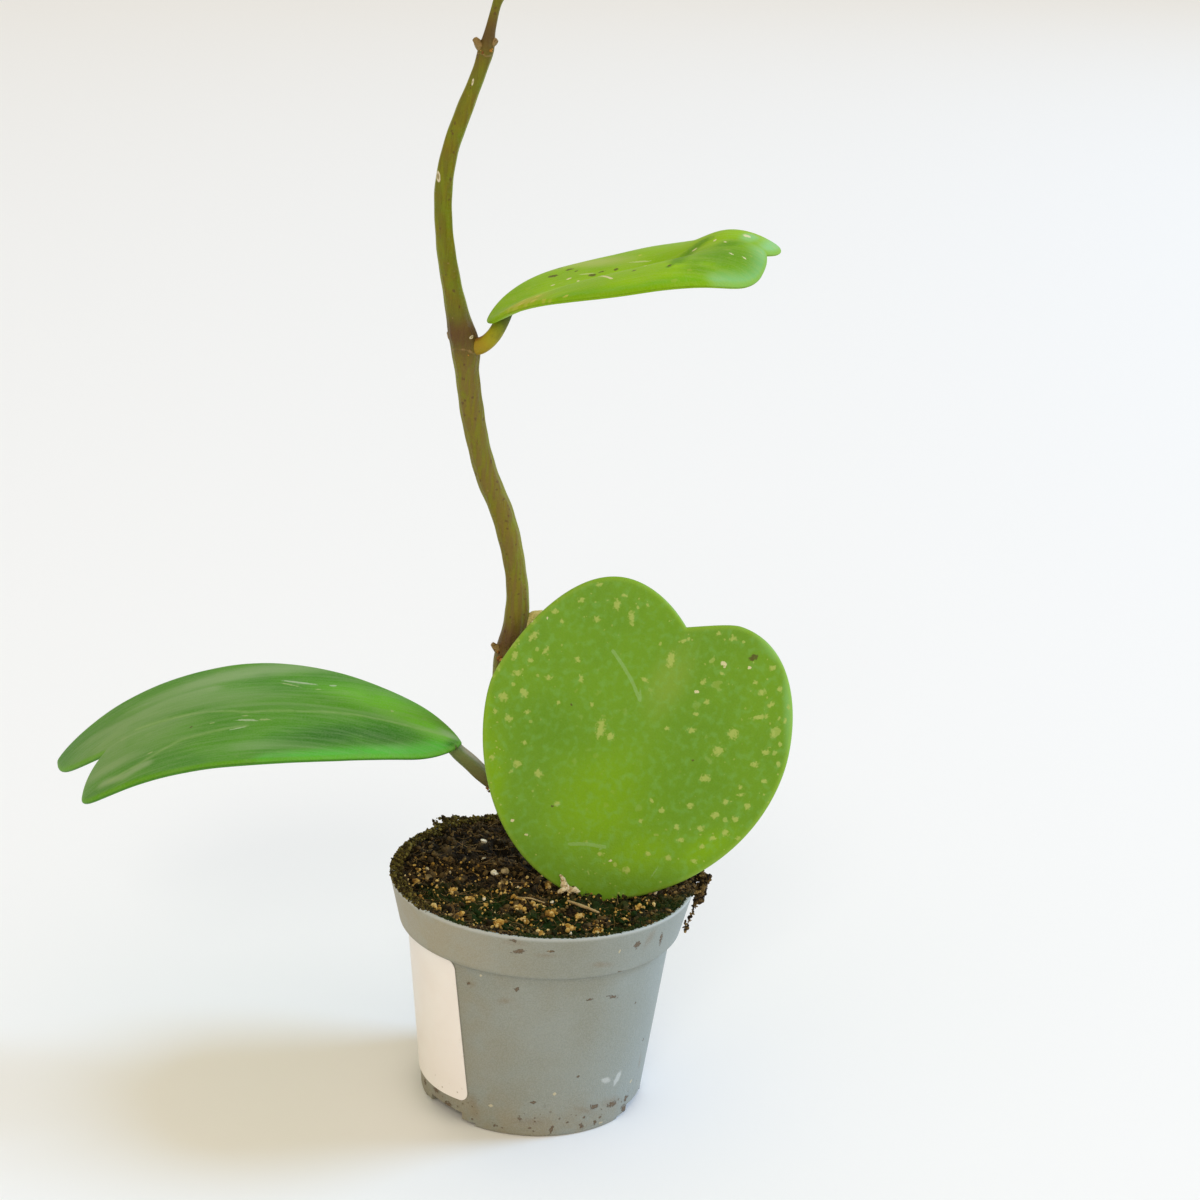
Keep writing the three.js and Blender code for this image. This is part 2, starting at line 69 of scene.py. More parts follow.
# The camera, fitted to the pot's outline in the photograph, and the light.

camera = {
    "place": (0, -642.2, 349.1),
    "pitch": 17.553,  # degrees down
    "yaw": 0.998,  # degrees to the right of +Y
    "roll": 3.641,
    "focal": 2500,  # pixels of the 1200 wide picture
    "picture": 1200,
    "sensor": 36,
}


def cameraAxes():
    pitch, yaw, roll = (math.radians(camera[key]) for key in ("pitch", "yaw", "roll"))
    level = Vector((math.cos(yaw), -math.sin(yaw), 0))
    forward = Vector((math.sin(yaw) * math.cos(pitch), math.cos(yaw) * math.cos(pitch), -math.sin(pitch)))
    upright = level.cross(forward)
    right = math.cos(roll) * level + math.sin(roll) * upright
    up = -math.sin(roll) * level + math.cos(roll) * upright
    return right, up, forward


def toPixels(points):  # where points in millimetres show in the picture
    right, up, forward = (np.array(axis) for axis in cameraAxes())
    rays = np.asarray(points, float) - np.array(camera["place"])
    depth = rays @ forward
    middle = camera["picture"] / 2
    across = middle + camera["focal"] * (rays @ right) / depth
    down = middle - camera["focal"] * (rays @ up) / depth
    return np.stack([across, down], 1)


def onLevel(pixel, height):  # the point at that height that shows at a pixel
    right, up, forward = (np.array(axis) for axis in cameraAxes())
    across, down = (np.array(pixel) - camera["picture"] / 2) / camera["focal"]
    ray = forward + right * across - up * down
    place = np.array(camera["place"])
    return place + ray * (height - place[2]) / ray[2]


def addCamera():
    data = bpy.data.cameras.new("photoCamera")
    data.sensor_width = camera["sensor"]
    data.lens = camera["focal"] * camera["sensor"] / camera["picture"]
    data.clip_start = 0.05
    data.clip_end = 50
    made = bpy.data.objects.new("photoCamera", data)
    right, up, forward = cameraAxes()
    place = made.matrix_world.copy()
    for row in range(3):
        place[row][:] = (right[row], up[row], -forward[row], camera["place"][row] * metres)
    made.matrix_world = place
    scene.collection.objects.link(made)
    scene.camera = made


light = {
    "sky": (1.0, 0.89, 0.71),
    "skyStrength": 0.8,
    "window": {"place": (5.2, 1.3, 4.0), "size": 2.4, "power": 310, "tint": (0.39, 0.64, 1.0)},
    "front": {"place": (-0.25, -2.4, 1.65), "size": 0.9, "power": 15, "tint": (1.0, 0.92, 0.8)},
    "aim": (0, 0, 0.12),
    "floorRadius": 7,
    "floorTint": paint(243, 243, 243),
}


def addLamp(name, lamp):
    data = bpy.data.lights.new(name, "AREA")
    data.shape = "DISK"
    data.size = lamp["size"]
    data.energy = lamp["power"]
    data.color = lamp["tint"]
    made = bpy.data.objects.new(name, data)
    made.location = lamp["place"]
    made.rotation_euler = (Vector(light["aim"]) - made.location).to_track_quat("-Z", "Y").to_euler()
    scene.collection.objects.link(made)


def addStudio():
    world = bpy.data.worlds.new("studioSky")
    world.use_nodes = True
    sky = world.node_tree.nodes["Background"]
    sky.inputs["Color"].default_value = (*light["sky"], 1)
    sky.inputs["Strength"].default_value = light["skyStrength"]
    scene.world = world
    addLamp("window", light["window"])
    addLamp("front", light["front"])
    scene.view_settings.view_transform = "Standard"
    rim = bmesh.new()
    bmesh.ops.create_circle(rim, cap_ends=True, segments=128, radius=light["floorRadius"])
    mesh = bpy.data.meshes.new("floor")
    rim.to_mesh(mesh)
    rim.free()
    floor = bpy.data.objects.new("floor", mesh)
    scene.collection.objects.link(floor)
    paper = bpy.data.materials.new("palePaper")
    paper.use_nodes = True
    shader = paper.node_tree.nodes["Principled BSDF"]
    shader.inputs["Base Color"].default_value = light["floorTint"]
    shader.inputs["Roughness"].default_value = 0.8
    mesh.materials.append(paper)


addCamera()
addStudio()
print("camera and light are up")


# Meshes, and fields of numbers on their vertices.

def makePiece(name, points, faces, fields, nodes=()):
    mesh = bpy.data.meshes.new(name)
    mesh.from_pydata(np.asarray(points, float) * metres, [], faces)
    for key, values in fields.items():
        addField(mesh, key, values)
    mesh.shade_smooth()
    piece = bpy.data.objects.new(name, mesh)
    scene.collection.objects.link(piece)
    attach(piece, "root")
    if nodes:
        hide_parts(*nodes)
    return piece


def addField(mesh, key, values):  # one number, or three, for each vertex
    values = np.asarray(values, np.float32)
    kind, entry = ("FLOAT", "value") if values.ndim == 1 else ("FLOAT_VECTOR", "vector")
    layer = mesh.attributes.new(key, kind, "POINT")
    layer.data.foreach_set(entry, values.ravel())


def applyModifiers(piece):
    shaped = bpy.data.meshes.new_from_object(piece.evaluated_get(bpy.context.evaluated_depsgraph_get()))
    shaped.name = piece.name
    piece.modifiers.clear()
    piece.data = shaped


def meshPoints(mesh):  # vertex places in millimetres
    flat = np.empty(3 * len(mesh.vertices), np.float32)
    mesh.vertices.foreach_get("co", flat)
    return flat.reshape(-1, 3).astype(float) / metres


def meshNormals(mesh):
    flat = np.empty(3 * len(mesh.vertices), np.float32)
    mesh.vertex_normals.foreach_get("vector", flat)
    return flat.reshape(-1, 3).astype(float)


def seenFrom(points, normals):  # which vertices turn towards the camera
    return ((np.array(camera["place"]) - points) * normals).sum(1) > 0


def vertexUnder(pixel, pixels, seen):  # the vertex that shows nearest to a pixel
    far = np.hypot(*(pixels - np.array(pixel)).T)
    return int(np.argmin(np.where(seen, far, np.inf)))


# How deep inside the nearest of some oval marks each vertex lies: 1 at a middle, 0 at a rim.
# A mark is a pixel, its length and width in millimetres, and the turn of its length in the picture
# in degrees, which is left out where the mark lies level.
def markField(marks, flat, pixels, seen):
    field = np.full(len(flat), -1.0)
    feeler = 14  # pixels along the mark to the point that gives its direction on the surface
    for x, y, length, width, *turn in marks:
        middle = flat[vertexUnder((x, y), pixels, seen)]
        angle = math.radians(*turn) if turn else 0
        ahead = (x + feeler * math.cos(angle), y - feeler * math.sin(angle))
        way = flat[vertexUnder(ahead, pixels, seen)] - middle
        way = way / max(np.hypot(*way), 1e-6) if np.hypot(*way) else np.array([1.0, 0])
        away = flat - middle
        along = away @ way / (0.5 * length)
        across = (away[:, 1] * way[0] - away[:, 0] * way[1]) / (0.5 * width)
        field = np.maximum(field, 1 - np.hypot(along, across))
    return field


# How deep inside the nearest of some drawn lines each vertex lies: 1 on a line, 0 at its rim.
# A line is its width in millimetres and the pixels that it runs through.
def strokeField(lines, flat, pixels, seen):
    field = np.full(len(flat), -1.0)
    for width, *route in lines:
        spots = [flat[vertexUnder(pixel, pixels, seen)] for pixel in route]
        for start, end in zip(spots, spots[1:]):
            way = end - start
            share = np.clip((flat - start) @ way / max(way @ way, 1e-9), 0, 1)
            away = np.hypot(*(flat - start - share[:, None] * way).T)
            field = np.maximum(field, 1 - away / (0.5 * width))
    return field


def gridFaces(rows, columns, closed):  # quads of a grid of rows of vertices, closed across if asked
    row = np.arange(rows - 1)[:, None] * columns
    column = np.arange(columns if closed else columns - 1)[None, :]
    after = (column + 1) % columns
    corners = [row + column, row + after, row + columns + after, row + columns + column]
    return np.stack(corners, -1).reshape(-1, 4)


def capFaces(rows, columns, tips, flip=False):  # fans that close a round grid's first and last rows
    last = (rows - 1) * columns
    faces = []
    for k in range(columns):
        after = (k + 1) % columns
        pair = [k, after] if flip else [after, k]
        faces.append([tips[0], *pair])
        faces.append([tips[1], last + pair[1], last + pair[0]])
    return faces


def roundAxis(radius, angle, height):  # points round the Z axis
    return np.stack(np.broadcast_arrays(radius * np.cos(angle), radius * np.sin(angle), height), -1)


# A smooth line through a route's points of x, y, z and radius.
def smoothRoute(route, steps):
    knots = np.array(route, float)
    knots = np.vstack([2 * knots[0] - knots[1], knots, 2 * knots[-1] - knots[-2]])
    at = np.linspace(0, len(route) - 1, steps + 1)
    first = np.minimum(at.astype(int), len(route) - 2)
    share = (at - first)[:, None]
    a, b, c, d = (knots[first + i] for i in range(4))
    pairs = ((a, b), (b, c), (c, d))
    ta, tb, tc = (np.linalg.norm((q - p)[:, :3], axis=1, keepdims=True) ** 0.5 for p, q in pairs)
    leaving = ((b - a) / ta - (c - a) / (ta + tb) + (c - b) / tb) * tb
    arriving = ((c - b) / tb - (d - b) / (tb + tc) + (d - c) / tc) * tb
    s2, s3 = share**2, share**3
    ends = (2 * s3 - 3 * s2 + 1) * b + (3 * s2 - 2 * s3) * c
    return ends + (s3 - 2 * s2 + share) * leaving + (s3 - s2) * arriving


# A tube along a line, with round ends. relief(along, angle) scales its radius.
def tube(line, sides, relief=None):
    centres, radii = line[:, :3], line[:, 3]
    steps = len(line)
    tangents = np.gradient(centres, axis=0)
    tangents /= np.linalg.norm(tangents, axis=1, keepdims=True)
    lengths = np.linalg.norm(np.diff(centres, axis=0), axis=1)
    along = np.concatenate([[0], np.cumsum(lengths)])
    side = np.array([1.0, 0, 0])
    angles = 2 * math.pi * np.arange(sides) / sides
    points = []
    for i in range(steps):
        side = side - tangents[i] * (side @ tangents[i])
        side /= np.linalg.norm(side)
        other = np.cross(tangents[i], side)
        radius = radii[i] * (relief(along[i], angles) if relief else np.ones(sides))
        spokes = np.cos(angles)[:, None] * side + np.sin(angles)[:, None] * other
        points.append(centres[i] + radius[:, None] * spokes)
    points = np.vstack(points)
    faces = gridFaces(steps, sides, True).tolist()
    faces += capFaces(steps, sides, (len(points), len(points) + 1))
    tips = [centres[0] - 0.35 * radii[0] * tangents[0], centres[-1] + 0.35 * radii[-1] * tangents[-1]]
    flat = np.stack([np.repeat(along, sides), np.tile(angles, steps)], 1)
    flat = np.vstack([flat, [0, 0], [along[-1], 0]])
    return np.vstack([points, tips]), faces, flat


# Nodes of the materials.

def addNode(tree, kind, inputs=None, **settings):
    node = tree.nodes.new("ShaderNode" + kind)
    for key, value in settings.items():
        setattr(node, key, value)
    for key, value in (inputs or {}).items():
        if isinstance(value, bpy.types.NodeSocket):
            tree.links.new(value, node.inputs[key])
        else:
            node.inputs[key].default_value = value
    return node


def fieldOf(tree, name, entry="Fac"):  # a number or vector that the mesh holds for each vertex
    return addNode(tree, "Attribute", attribute_name=name).outputs[entry]


def mathNode(tree, operation, a, b, clamp=False):
    return addNode(tree, "Math", {0: a, 1: b}, operation=operation, use_clamp=clamp).outputs[0]


def times(tree, a, b):
    return mathNode(tree, "MULTIPLY", a, b)


def plus(tree, a, b, clamp=False):
    return mathNode(tree, "ADD", a, b, clamp)


def minus(tree, a, b):
    return mathNode(tree, "SUBTRACT", a, b)


def most(tree, a, b):
    return mathNode(tree, "MAXIMUM", a, b)


def axisOf(tree, place, axis="Z"):  # one of the three numbers of a place
    return addNode(tree, "SeparateXYZ", {0: place}).outputs[axis]


def ramp(tree, value, low, high, start=0.0, end=1.0):
    inputs = {"Value": value, "From Min": low, "From Max": high, "To Min": start, "To Max": end}
    return addNode(tree, "MapRange", inputs, interpolation_type="SMOOTHSTEP").outputs["Result"]


def mixColour(tree, mask, below, above):
    return addNode(tree, "Mix", {0: mask, 6: below, 7: above}, data_type="RGBA").outputs[2]


def layTint(tree, colour, mask, share, tint):  # a tint over a colour, by a share of a mask
    return mixColour(tree, times(tree, mask, share), colour, tint)


def palette(tree, value, colours):  # evenly spaced colours along a value from 0 to 1
    node = addNode(tree, "ValToRGB", {"Fac": value})
    stops = node.color_ramp.elements
    for k in range(1, len(colours) - 1):
        stops.new(k / (len(colours) - 1))
    for stop, colour in zip(stops, colours):
        stop.color = colour
    return node.outputs["Color"]


def noiseNode(tree, place, scale, detail):
    return addNode(tree, "TexNoise", {"Vector": place, "Scale": scale, "Detail": detail}).outputs["Fac"]


def newGroup(name, inputs, outputs):
    group = bpy.data.node_groups.new(name, "ShaderNodeTree")
    for socket, kind, value in inputs:
        made = group.interface.new_socket(name=socket, in_out="INPUT", socket_type="NodeSocket" + kind)
        if value is not None:
            made.default_value = value
    for socket, kind in outputs:
        group.interface.new_socket(name=socket, in_out="OUTPUT", socket_type="NodeSocket" + kind)
    entry = group.nodes.new("NodeGroupInput")
    leave = group.nodes.new("NodeGroupOutput")
    return group, entry, leave


def useGroup(tree, group, inputs):
    node = tree.nodes.new("ShaderNodeGroup")
    node.node_tree = group
    for key, value in inputs.items():
        if isinstance(value, bpy.types.NodeSocket):
            tree.links.new(value, node.inputs[key])
        else:
            node.inputs[key].default_value = value
    return node


# Cloudy patches: a mask from noise between two levels.
def makeMottle():
    inputs = [("Place", "Vector", None), ("Scale", "Float", 100.0), ("Detail", "Float", 3.0)]
    inputs += [("Low", "Float", 0.35), ("High", "Float", 0.65)]
    group, entry, leave = newGroup("softMottle", inputs, [("Mask", "Float")])
    cloud = noiseNode(group, entry.outputs["Place"], entry.outputs["Scale"], entry.outputs["Detail"])
    mask = ramp(group, cloud, entry.outputs["Low"], entry.outputs["High"])
    group.links.new(mask, leave.inputs["Mask"])
    return group


# Scattered specks: some cells of a cell pattern hold a spot with a ragged rim.
def makeSpecks():
    inputs = [("Place", "Vector", None), ("Scale", "Float", 400.0), ("Share", "Float", 0.2)]
    inputs += [("Size", "Float", 0.3), ("Ragged", "Float", 0.15)]
    group, entry, leave = newGroup("scatteredSpecks", inputs, [("Mask", "Float")])
    place, scale = entry.outputs["Place"], entry.outputs["Scale"]
    cells = addNode(group, "TexVoronoi", {"Vector": place, "Scale": scale})
    draw = addNode(group, "SeparateColor", {"Color": cells.outputs["Color"]})
    chosen = mathNode(group, "LESS_THAN", draw.outputs["Red"], entry.outputs["Share"])
    wave = noiseNode(group, place, times(group, scale, 3.0), 2.0)
    jitter = times(group, minus(group, wave, 0.5), entry.outputs["Ragged"])
    size = times(group, entry.outputs["Size"], ramp(group, draw.outputs["Green"], 0.0, 1.0, 0.45, 1.0))
    reach = minus(group, plus(group, size, jitter), cells.outputs["Distance"])
    spot = ramp(group, reach, 0.0, 0.06)
    group.links.new(times(group, spot, chosen), leave.inputs["Mask"])
    return group


# A fine grain: a height to bump with and a mask to tint with.
def makeGrain():
    inputs = [("Place", "Vector", None), ("Scale", "Float", 2000.0), ("Coarse Share", "Float", 0.5)]
    group, entry, leave = newGroup("fineGrain", inputs, [("Height", "Float"), ("Mask", "Float")])
    place, scale = entry.outputs["Place"], entry.outputs["Scale"]
    fine = noiseNode(group, place, scale, 2.0)
    coarse = noiseNode(group, place, times(group, scale, 0.22), 2.0)
    height = plus(group, fine, times(group, coarse, entry.outputs["Coarse Share"]))
    group.links.new(height, leave.inputs["Height"])
    group.links.new(ramp(group, fine, 0.35, 0.65), leave.inputs["Mask"])
    return group


# A mark's mask from its field, with a rim broken up by noise.
def makeRaggedMark():
    inputs = [("Place", "Vector", None), ("Field", "Float", 0.0), ("Scale", "Float", 900.0)]
    inputs += [("Ragged", "Float", 0.8), ("Rim", "Float", 0.25)]
    group, entry, leave = newGroup("raggedMark", inputs, [("Mask", "Float")])
    wave = noiseNode(group, entry.outputs["Place"], entry.outputs["Scale"], 3.0)
    jitter = times(group, minus(group, wave, 0.5), entry.outputs["Ragged"])
    level = plus(group, entry.outputs["Field"], jitter)
    group.links.new(ramp(group, level, 0.0, entry.outputs["Rim"]), leave.inputs["Mask"])
    return group


mottle = makeMottle()
specks = makeSpecks()
grain = makeGrain()
raggedMark = makeRaggedMark()


def newMaterial(name, roughness, gloss=0.5):
    material = bpy.data.materials.new(name)
    material.use_nodes = True
    tree = material.node_tree
    shader = tree.nodes["Principled BSDF"]
    shader.inputs["Roughness"].default_value = roughness
    shader.inputs["Specular IOR Level"].default_value = gloss
    place = addNode(tree, "TexCoord").outputs["Object"]
    return material, tree, shader, place


def cloudMask(tree, place, scale, low, high, detail=3.0):
    inputs = {"Place": place, "Scale": scale, "Detail": detail, "Low": low, "High": high}
    return useGroup(tree, mottle, inputs).outputs["Mask"]


def speckMask(tree, place, scale, share, size, ragged=0.15):
    inputs = {"Place": place, "Scale": scale, "Share": share, "Size": size, "Ragged": ragged}
    return useGroup(tree, specks, inputs).outputs["Mask"]


def markMask(tree, place, key, scale, ragged=0.8, rim=0.25):  # where a field of marks is above 0
    inputs = {"Place": place, "Field": fieldOf(tree, key), "Scale": scale, "Ragged": ragged, "Rim": rim}
    return useGroup(tree, raggedMark, inputs).outputs["Mask"]


def grainNode(tree, place, scale, coarse):
    return useGroup(tree, grain, {"Place": place, "Scale": scale, "Coarse Share": coarse})


def finishMaterial(tree, shader, colour, height, distance):  # the bump's distance is in metres
    bump = addNode(tree, "Bump", {"Height": height, "Distance": distance})
    tree.links.new(bump.outputs["Normal"], shader.inputs["Normal"])
    tree.links.new(colour, shader.inputs["Base Color"])


# The pot: a thin turned wall with a collar, its foot notched, its marks laid on by pixel.

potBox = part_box("pot")
pot = {
    "height": potBox[1].z / metres,
    "rimRadius": potBox[1].x / metres,
    "collarFoot": 39.3,
    "collarHeight": 13.3,
    "bodyTop": 37,
    "base": 31.2,
    "wall": 1.2,
    "lip": 1.3,
    "floor": 2.3,
    "sides": 360,
    "step": 0.7,  # spacing of the rings
    "footCentre": -78,
    "notchWidth": 40.6,
    "notchHeight": 1.2,
    "notchReach": 8,
    "drainWidth": 24.6,
    "drainHeight": 3.2,
    "drainReach": 2.5,  # how far a slot cuts in past the wall
    "sharpAngle": 38,  # edges that bend more than this stay sharp
    "ledgeRise": 0.4,  # of the collar's inner foot above the body's
    "wrapRadius": 38,  # where the wall is laid flat, to measure marks on it
    "grey": paint(131, 133, 119),
    "greyCool": paint(138, 144, 137),
    "greyWarm": paint(136, 128, 104),
    "dust": paint(190, 178, 150),
    "smear": paint(118, 98, 66),
    "greyLitRight": paint(136, 150, 150),
    "dirtDark": paint(92, 70, 42),
    "dirtPale": paint(196, 184, 150),
    "lime": paint(196, 202, 202),
    "glint": (0.6, 0.62, 0.62, 1),
    # pixel, length and width in millimetres, and turn in degrees where the mark doesn't lie level
    "dirtMarks": [
        (600, 1100, 5.5, 2.2, 5), (611, 1104, 4.5, 2.0, 20), (594, 1106, 4.0, 1.6),
        (559, 1104, 2.4, 1.6), (574, 1107, 2.2, 1.2, 30), (545, 1112, 3.4, 1.2), (533, 1103, 2.2, 1.0),
        (626, 1098, 3.0, 2.0, 40), (517, 990, 1.5, 1.5), (469, 984, 1.3, 1.1), (556, 1084, 1.8, 0.8),
        (579, 1077, 1.2, 0.9), (519, 951, 3.4, 1.5), (512, 941, 3.0, 0.9, -20), (552, 951, 2.2, 0.9),
        (637, 945, 2.4, 2.0, 60), (661, 938, 5.0, 1.1, 80), (659, 951, 3.0, 0.9, 80),
        (620, 971, 2.6, 0.9), (643, 1040, 1.2, 0.9), (614, 996, 4.5, 1.0), (590, 1000, 2.4, 0.8),
        (462, 1090, 3.2, 2.2), (436, 1090, 4.0, 2.0, -25), (448, 1104, 4.0, 2.0, -20),
        (520, 1118, 1.8, 1.0), (505, 1110, 1.4, 0.9), (425, 1082, 3.0, 2.0), (584, 1118, 1.6, 0.8),
        (567, 1122, 1.2, 0.7), (600, 1116, 1.4, 0.8), (530, 1128, 1.5, 0.8),
    ],
    "paleMarks": [
        (554, 1093, 1.7, 1.2), (480, 976, 1.0, 0.8), (548, 951, 0.9, 0.8), (490, 1106, 2.2, 1.0),
        (620, 951, 1.6, 0.6, 70), (631, 1082, 1.6, 1.2, 60), (600, 1123, 2.6, 0.8),
    ],
    "limeMarks": [(611, 1070, 6, 3.2, 60), (618, 1078, 6, 3, 70), (606, 1080, 5, 2.4, 80)],
    "smearMarks": [
        (612, 1102, 15, 6, 8), (585, 1112, 14, 4), (515, 942, 9, 3.4, -10), (650, 938, 9, 5, 60),
        (440, 1096, 16, 6, -20), (475, 1108, 16, 5, -8), (530, 1122, 18, 4), (640, 1060, 8, 3, 80),
        (470, 985, 6, 3), (600, 965, 10, 3, 5), (545, 955, 8, 2.4), (505, 1000, 8, 3, 10),
    ],
}
bodyHeight = pot["height"] - pot["collarHeight"]
bodySlope = (pot["bodyTop"] - pot["base"]) / bodyHeight
collarSlope = (pot["rimRadius"] - pot["collarFoot"]) / pot["collarHeight"]


# A profile through corners of radius, height and rounding, with its straight stretches cut short.
def roundedProfile(corners, step):
    line = [corners[0][:2]]
    for before, corner, after in zip(corners, corners[1:], corners[2:]):
        here = np.array(corner[:2], float)
        back = np.array(before[:2]) - here
        ahead = np.array(after[:2]) - here
        start = here + back * corner[2] / np.hypot(*back)
        end = here + ahead * corner[2] / np.hypot(*ahead)
        for share in np.linspace(0, 1, 5):
            line.append((1 - share) ** 2 * start + 2 * share * (1 - share) * here + share**2 * end)
    line.append(corners[-1][:2])
    fine = [np.array(line[0], float)]
    for point in line[1:]:
        gap = np.array(point, float) - fine[-1]
        parts = max(1, round(np.hypot(*gap) / step))
        fine += [fine[-1] + gap * (k + 1) / parts for k in range(parts)]
    return np.array(fine)


def revolve(profile, sides):  # a closed body, from the middle of its underside to that of its inside
    angles = 2 * math.pi * np.arange(sides) / sides
    turned = [roundAxis(radius, angles, height) for radius, height in profile[1:-1]]
    points = np.vstack([*turned, [0, 0, profile[0][1]], [0, 0, profile[-1][1]]])
    rows = len(turned)
    faces = gridFaces(rows, sides, True).tolist()
    return points, faces + capFaces(rows, sides, (len(points) - 2, len(points) - 1))


# A block over an arc, to cut a notch or a drain slot with.
def arcCutter(name, centre, width, inner, outer, bottom, top):
    steps = 17
    angles = np.radians(np.linspace(centre - width / 2, centre + width / 2, steps))
    corners = ((inner, bottom), (outer, bottom), (outer, top), (inner, top))
    points = np.stack([roundAxis(radius, angles, height) for radius, height in corners], 1).reshape(-1, 3)
    faces = [face[::-1] for face in gridFaces(steps, 4, True).tolist()]
    last = 4 * steps - 1
    faces += [[0, 1, 2, 3], [last, last - 1, last - 2, last - 3]]
    mesh = bpy.data.meshes.new(name)
    mesh.from_pydata(points * metres, [], faces)
    made = bpy.data.objects.new(name, mesh)
    scene.collection.objects.link(made)
    return made


def cutWith(piece, cutters):
    for cutter in cutters:
        modifier = piece.modifiers.new(cutter.name, "BOOLEAN")
        modifier.object = cutter
        modifier.operation = "DIFFERENCE"
        modifier.solver = "EXACT"
    applyModifiers(piece)
    for cutter in cutters:
        bpy.data.objects.remove(cutter)


def sharpenEdges(mesh, degrees):
    shape = bmesh.new()
    shape.from_mesh(mesh)
    bmesh.ops.remove_doubles(shape, verts=shape.verts, dist=1e-6)
    bmesh.ops.dissolve_degenerate(shape, edges=shape.edges, dist=1e-6)
    for edge in shape.edges:
        edge.smooth = len(edge.link_faces) == 2 and edge.calc_face_angle(0) < math.radians(degrees)
    for face in shape.faces:
        face.smooth = True
    shape.to_mesh(mesh)
    shape.free()


def potMaterial():
    material, tree, shader, place = newMaterial("greyPotPlastic", 0.52)
    cloud = cloudMask(tree, place, 45.0, 0.3, 0.7)
    colour = mixColour(tree, cloud, pot["grey"], pot["greyCool"])
    height = axisOf(tree, place)
    across = axisOf(tree, place, "X")
    # Warmer towards the bottom, and painted warm light on the left side, both broken up by a cloud.
    low = ramp(tree, height, 0.016, 0.0)
    left = ramp(tree, across, 0.01, -0.04)
    smudgeAndLightCloud = cloudMask(tree, place, 130.0, 0.28, 0.62)
    warm = times(tree, plus(tree, low, left, True), smudgeAndLightCloud)
    colour = layTint(tree, colour, warm, 0.85, pot["greyWarm"])
    # Painted light: the right side is made paler and cooler, as if lit by the window there.
    right = ramp(tree, across, 0.004, 0.038, 0.0, 0.6)
    colour = mixColour(tree, right, colour, pot["greyLitRight"])
    collar = times(tree, ramp(tree, height, 0.0515, 0.0535), left)
    colour = layTint(tree, colour, collar, 0.35, pot["dust"])
    smear = markMask(tree, place, "smear", 480.0, rim=1.1)
    colour = layTint(tree, colour, smear, 0.4, pot["smear"])
    # Painted highlight: a pale band along the top of the lip, in the scuff's pale colour.
    lipHighlight = ramp(tree, height, 0.0638, 0.0648)
    colour = layTint(tree, colour, lipHighlight, 0.5, pot["lime"])
    wipe = markMask(tree, place, "lime", 700.0, rim=0.5)
    colour = layTint(tree, colour, wipe, 0.6, pot["lime"])
    pale = markMask(tree, place, "pale", 1500.0)
    colour = layTint(tree, colour, pale, 0.8, pot["dirtPale"])
    dirt = markMask(tree, place, "dirt", 1600.0, 2.2)
    fly = speckMask(tree, place, 330.0, 0.05, 0.16)
    flyLow = speckMask(tree, place, 700.0, 0.32, 0.28)
    dust = times(tree, flyLow, ramp(tree, height, 0.014, 0.003))
    soiled = most(tree, most(tree, dirt, fly), times(tree, dust, 0.9))
    soiled = most(tree, times(tree, soiled, 0.86), times(tree, fieldOf(tree, "inside"), 0.85))
    colour = mixColour(tree, soiled, colour, pot["dirtDark"])
    fine = grainNode(tree, place, 2600.0, 0.8)
    colour = layTint(tree, colour, fine.outputs["Mask"], 0.1, pot["glint"])
    rough = ramp(tree, soiled, 0.0, 1.0, 0.5, 0.9)
    tree.links.new(rough, shader.inputs["Roughness"])
    lift = plus(tree, fine.outputs["Height"], times(tree, soiled, 2.0))
    finishMaterial(tree, shader, colour, lift, 0.00012)
    return material


def addPot():
    inset = pot["wall"]
    step = bodyHeight + inset
    collarInside = pot["collarFoot"] + collarSlope * inset - inset
    corners = [
        (0, 0),
        (pot["base"], 0, 0.8),
        (pot["bodyTop"], bodyHeight, 0.5),
        (pot["collarFoot"], bodyHeight, 0.7),
        (pot["rimRadius"], pot["height"], 0.45),
        (pot["rimRadius"] - pot["lip"], pot["height"], 0.45),
        (collarInside, step + pot["ledgeRise"], 0.8),
        (pot["bodyTop"] - inset, step, 0.4),
        (pot["base"] + bodySlope * pot["floor"] - inset, pot["floor"], 1.2),
        (0, pot["floor"]),
    ]
    points, faces = revolve(roundedProfile(corners, pot["step"]), pot["sides"])
    piece = makePiece("nurseryPot", points, faces, {}, ["pot"])
    cutters = []
    outer = pot["base"] + 3
    inner = pot["base"] - pot["wall"] - pot["drainReach"]
    for i in range(3):
        centre = pot["footCentre"] + 120 * (i + 0.5)
        notch = (centre, pot["notchWidth"], pot["base"] - pot["notchReach"], outer, -1, pot["notchHeight"])
        drain = (centre, pot["drainWidth"], inner, outer, -1, pot["drainHeight"])
        cutters += [arcCutter("notch", *notch), arcCutter("drain", *drain)]
    cutWith(piece, cutters)
    sharpenEdges(piece.data, pot["sharpAngle"])
    points = meshPoints(piece.data)
    normals = meshNormals(piece.data)
    radius = np.hypot(points[:, 0], points[:, 1])
    turn = np.arctan2(points[:, 1], points[:, 0])
    flat = np.stack([turn * pot["wrapRadius"], points[:, 2]], 1)
    outwards = (normals[:, :2] * points[:, :2]).sum(1) > 0
    seen = seenFrom(points, normals) & outwards
    pixels = toPixels(points)
    for key in ("dirt", "pale", "lime", "smear"):
        field = markField(pot[key + "Marks"], flat, pixels, seen)
        addField(piece.data, key, np.where(outwards, field, -1))
    mouth = pot["rimRadius"] - pot["lip"] - 0.05
    inside = (radius < mouth) & (points[:, 2] > pot["floor"] - 0.1) & ~outwards
    addField(piece.data, "inside", inside.astype(float))
    piece.data.materials.append(potMaterial())
    print("pot:", len(points), "points")


addPot()


# The bare label, wrapped on the cone of the pot's body.

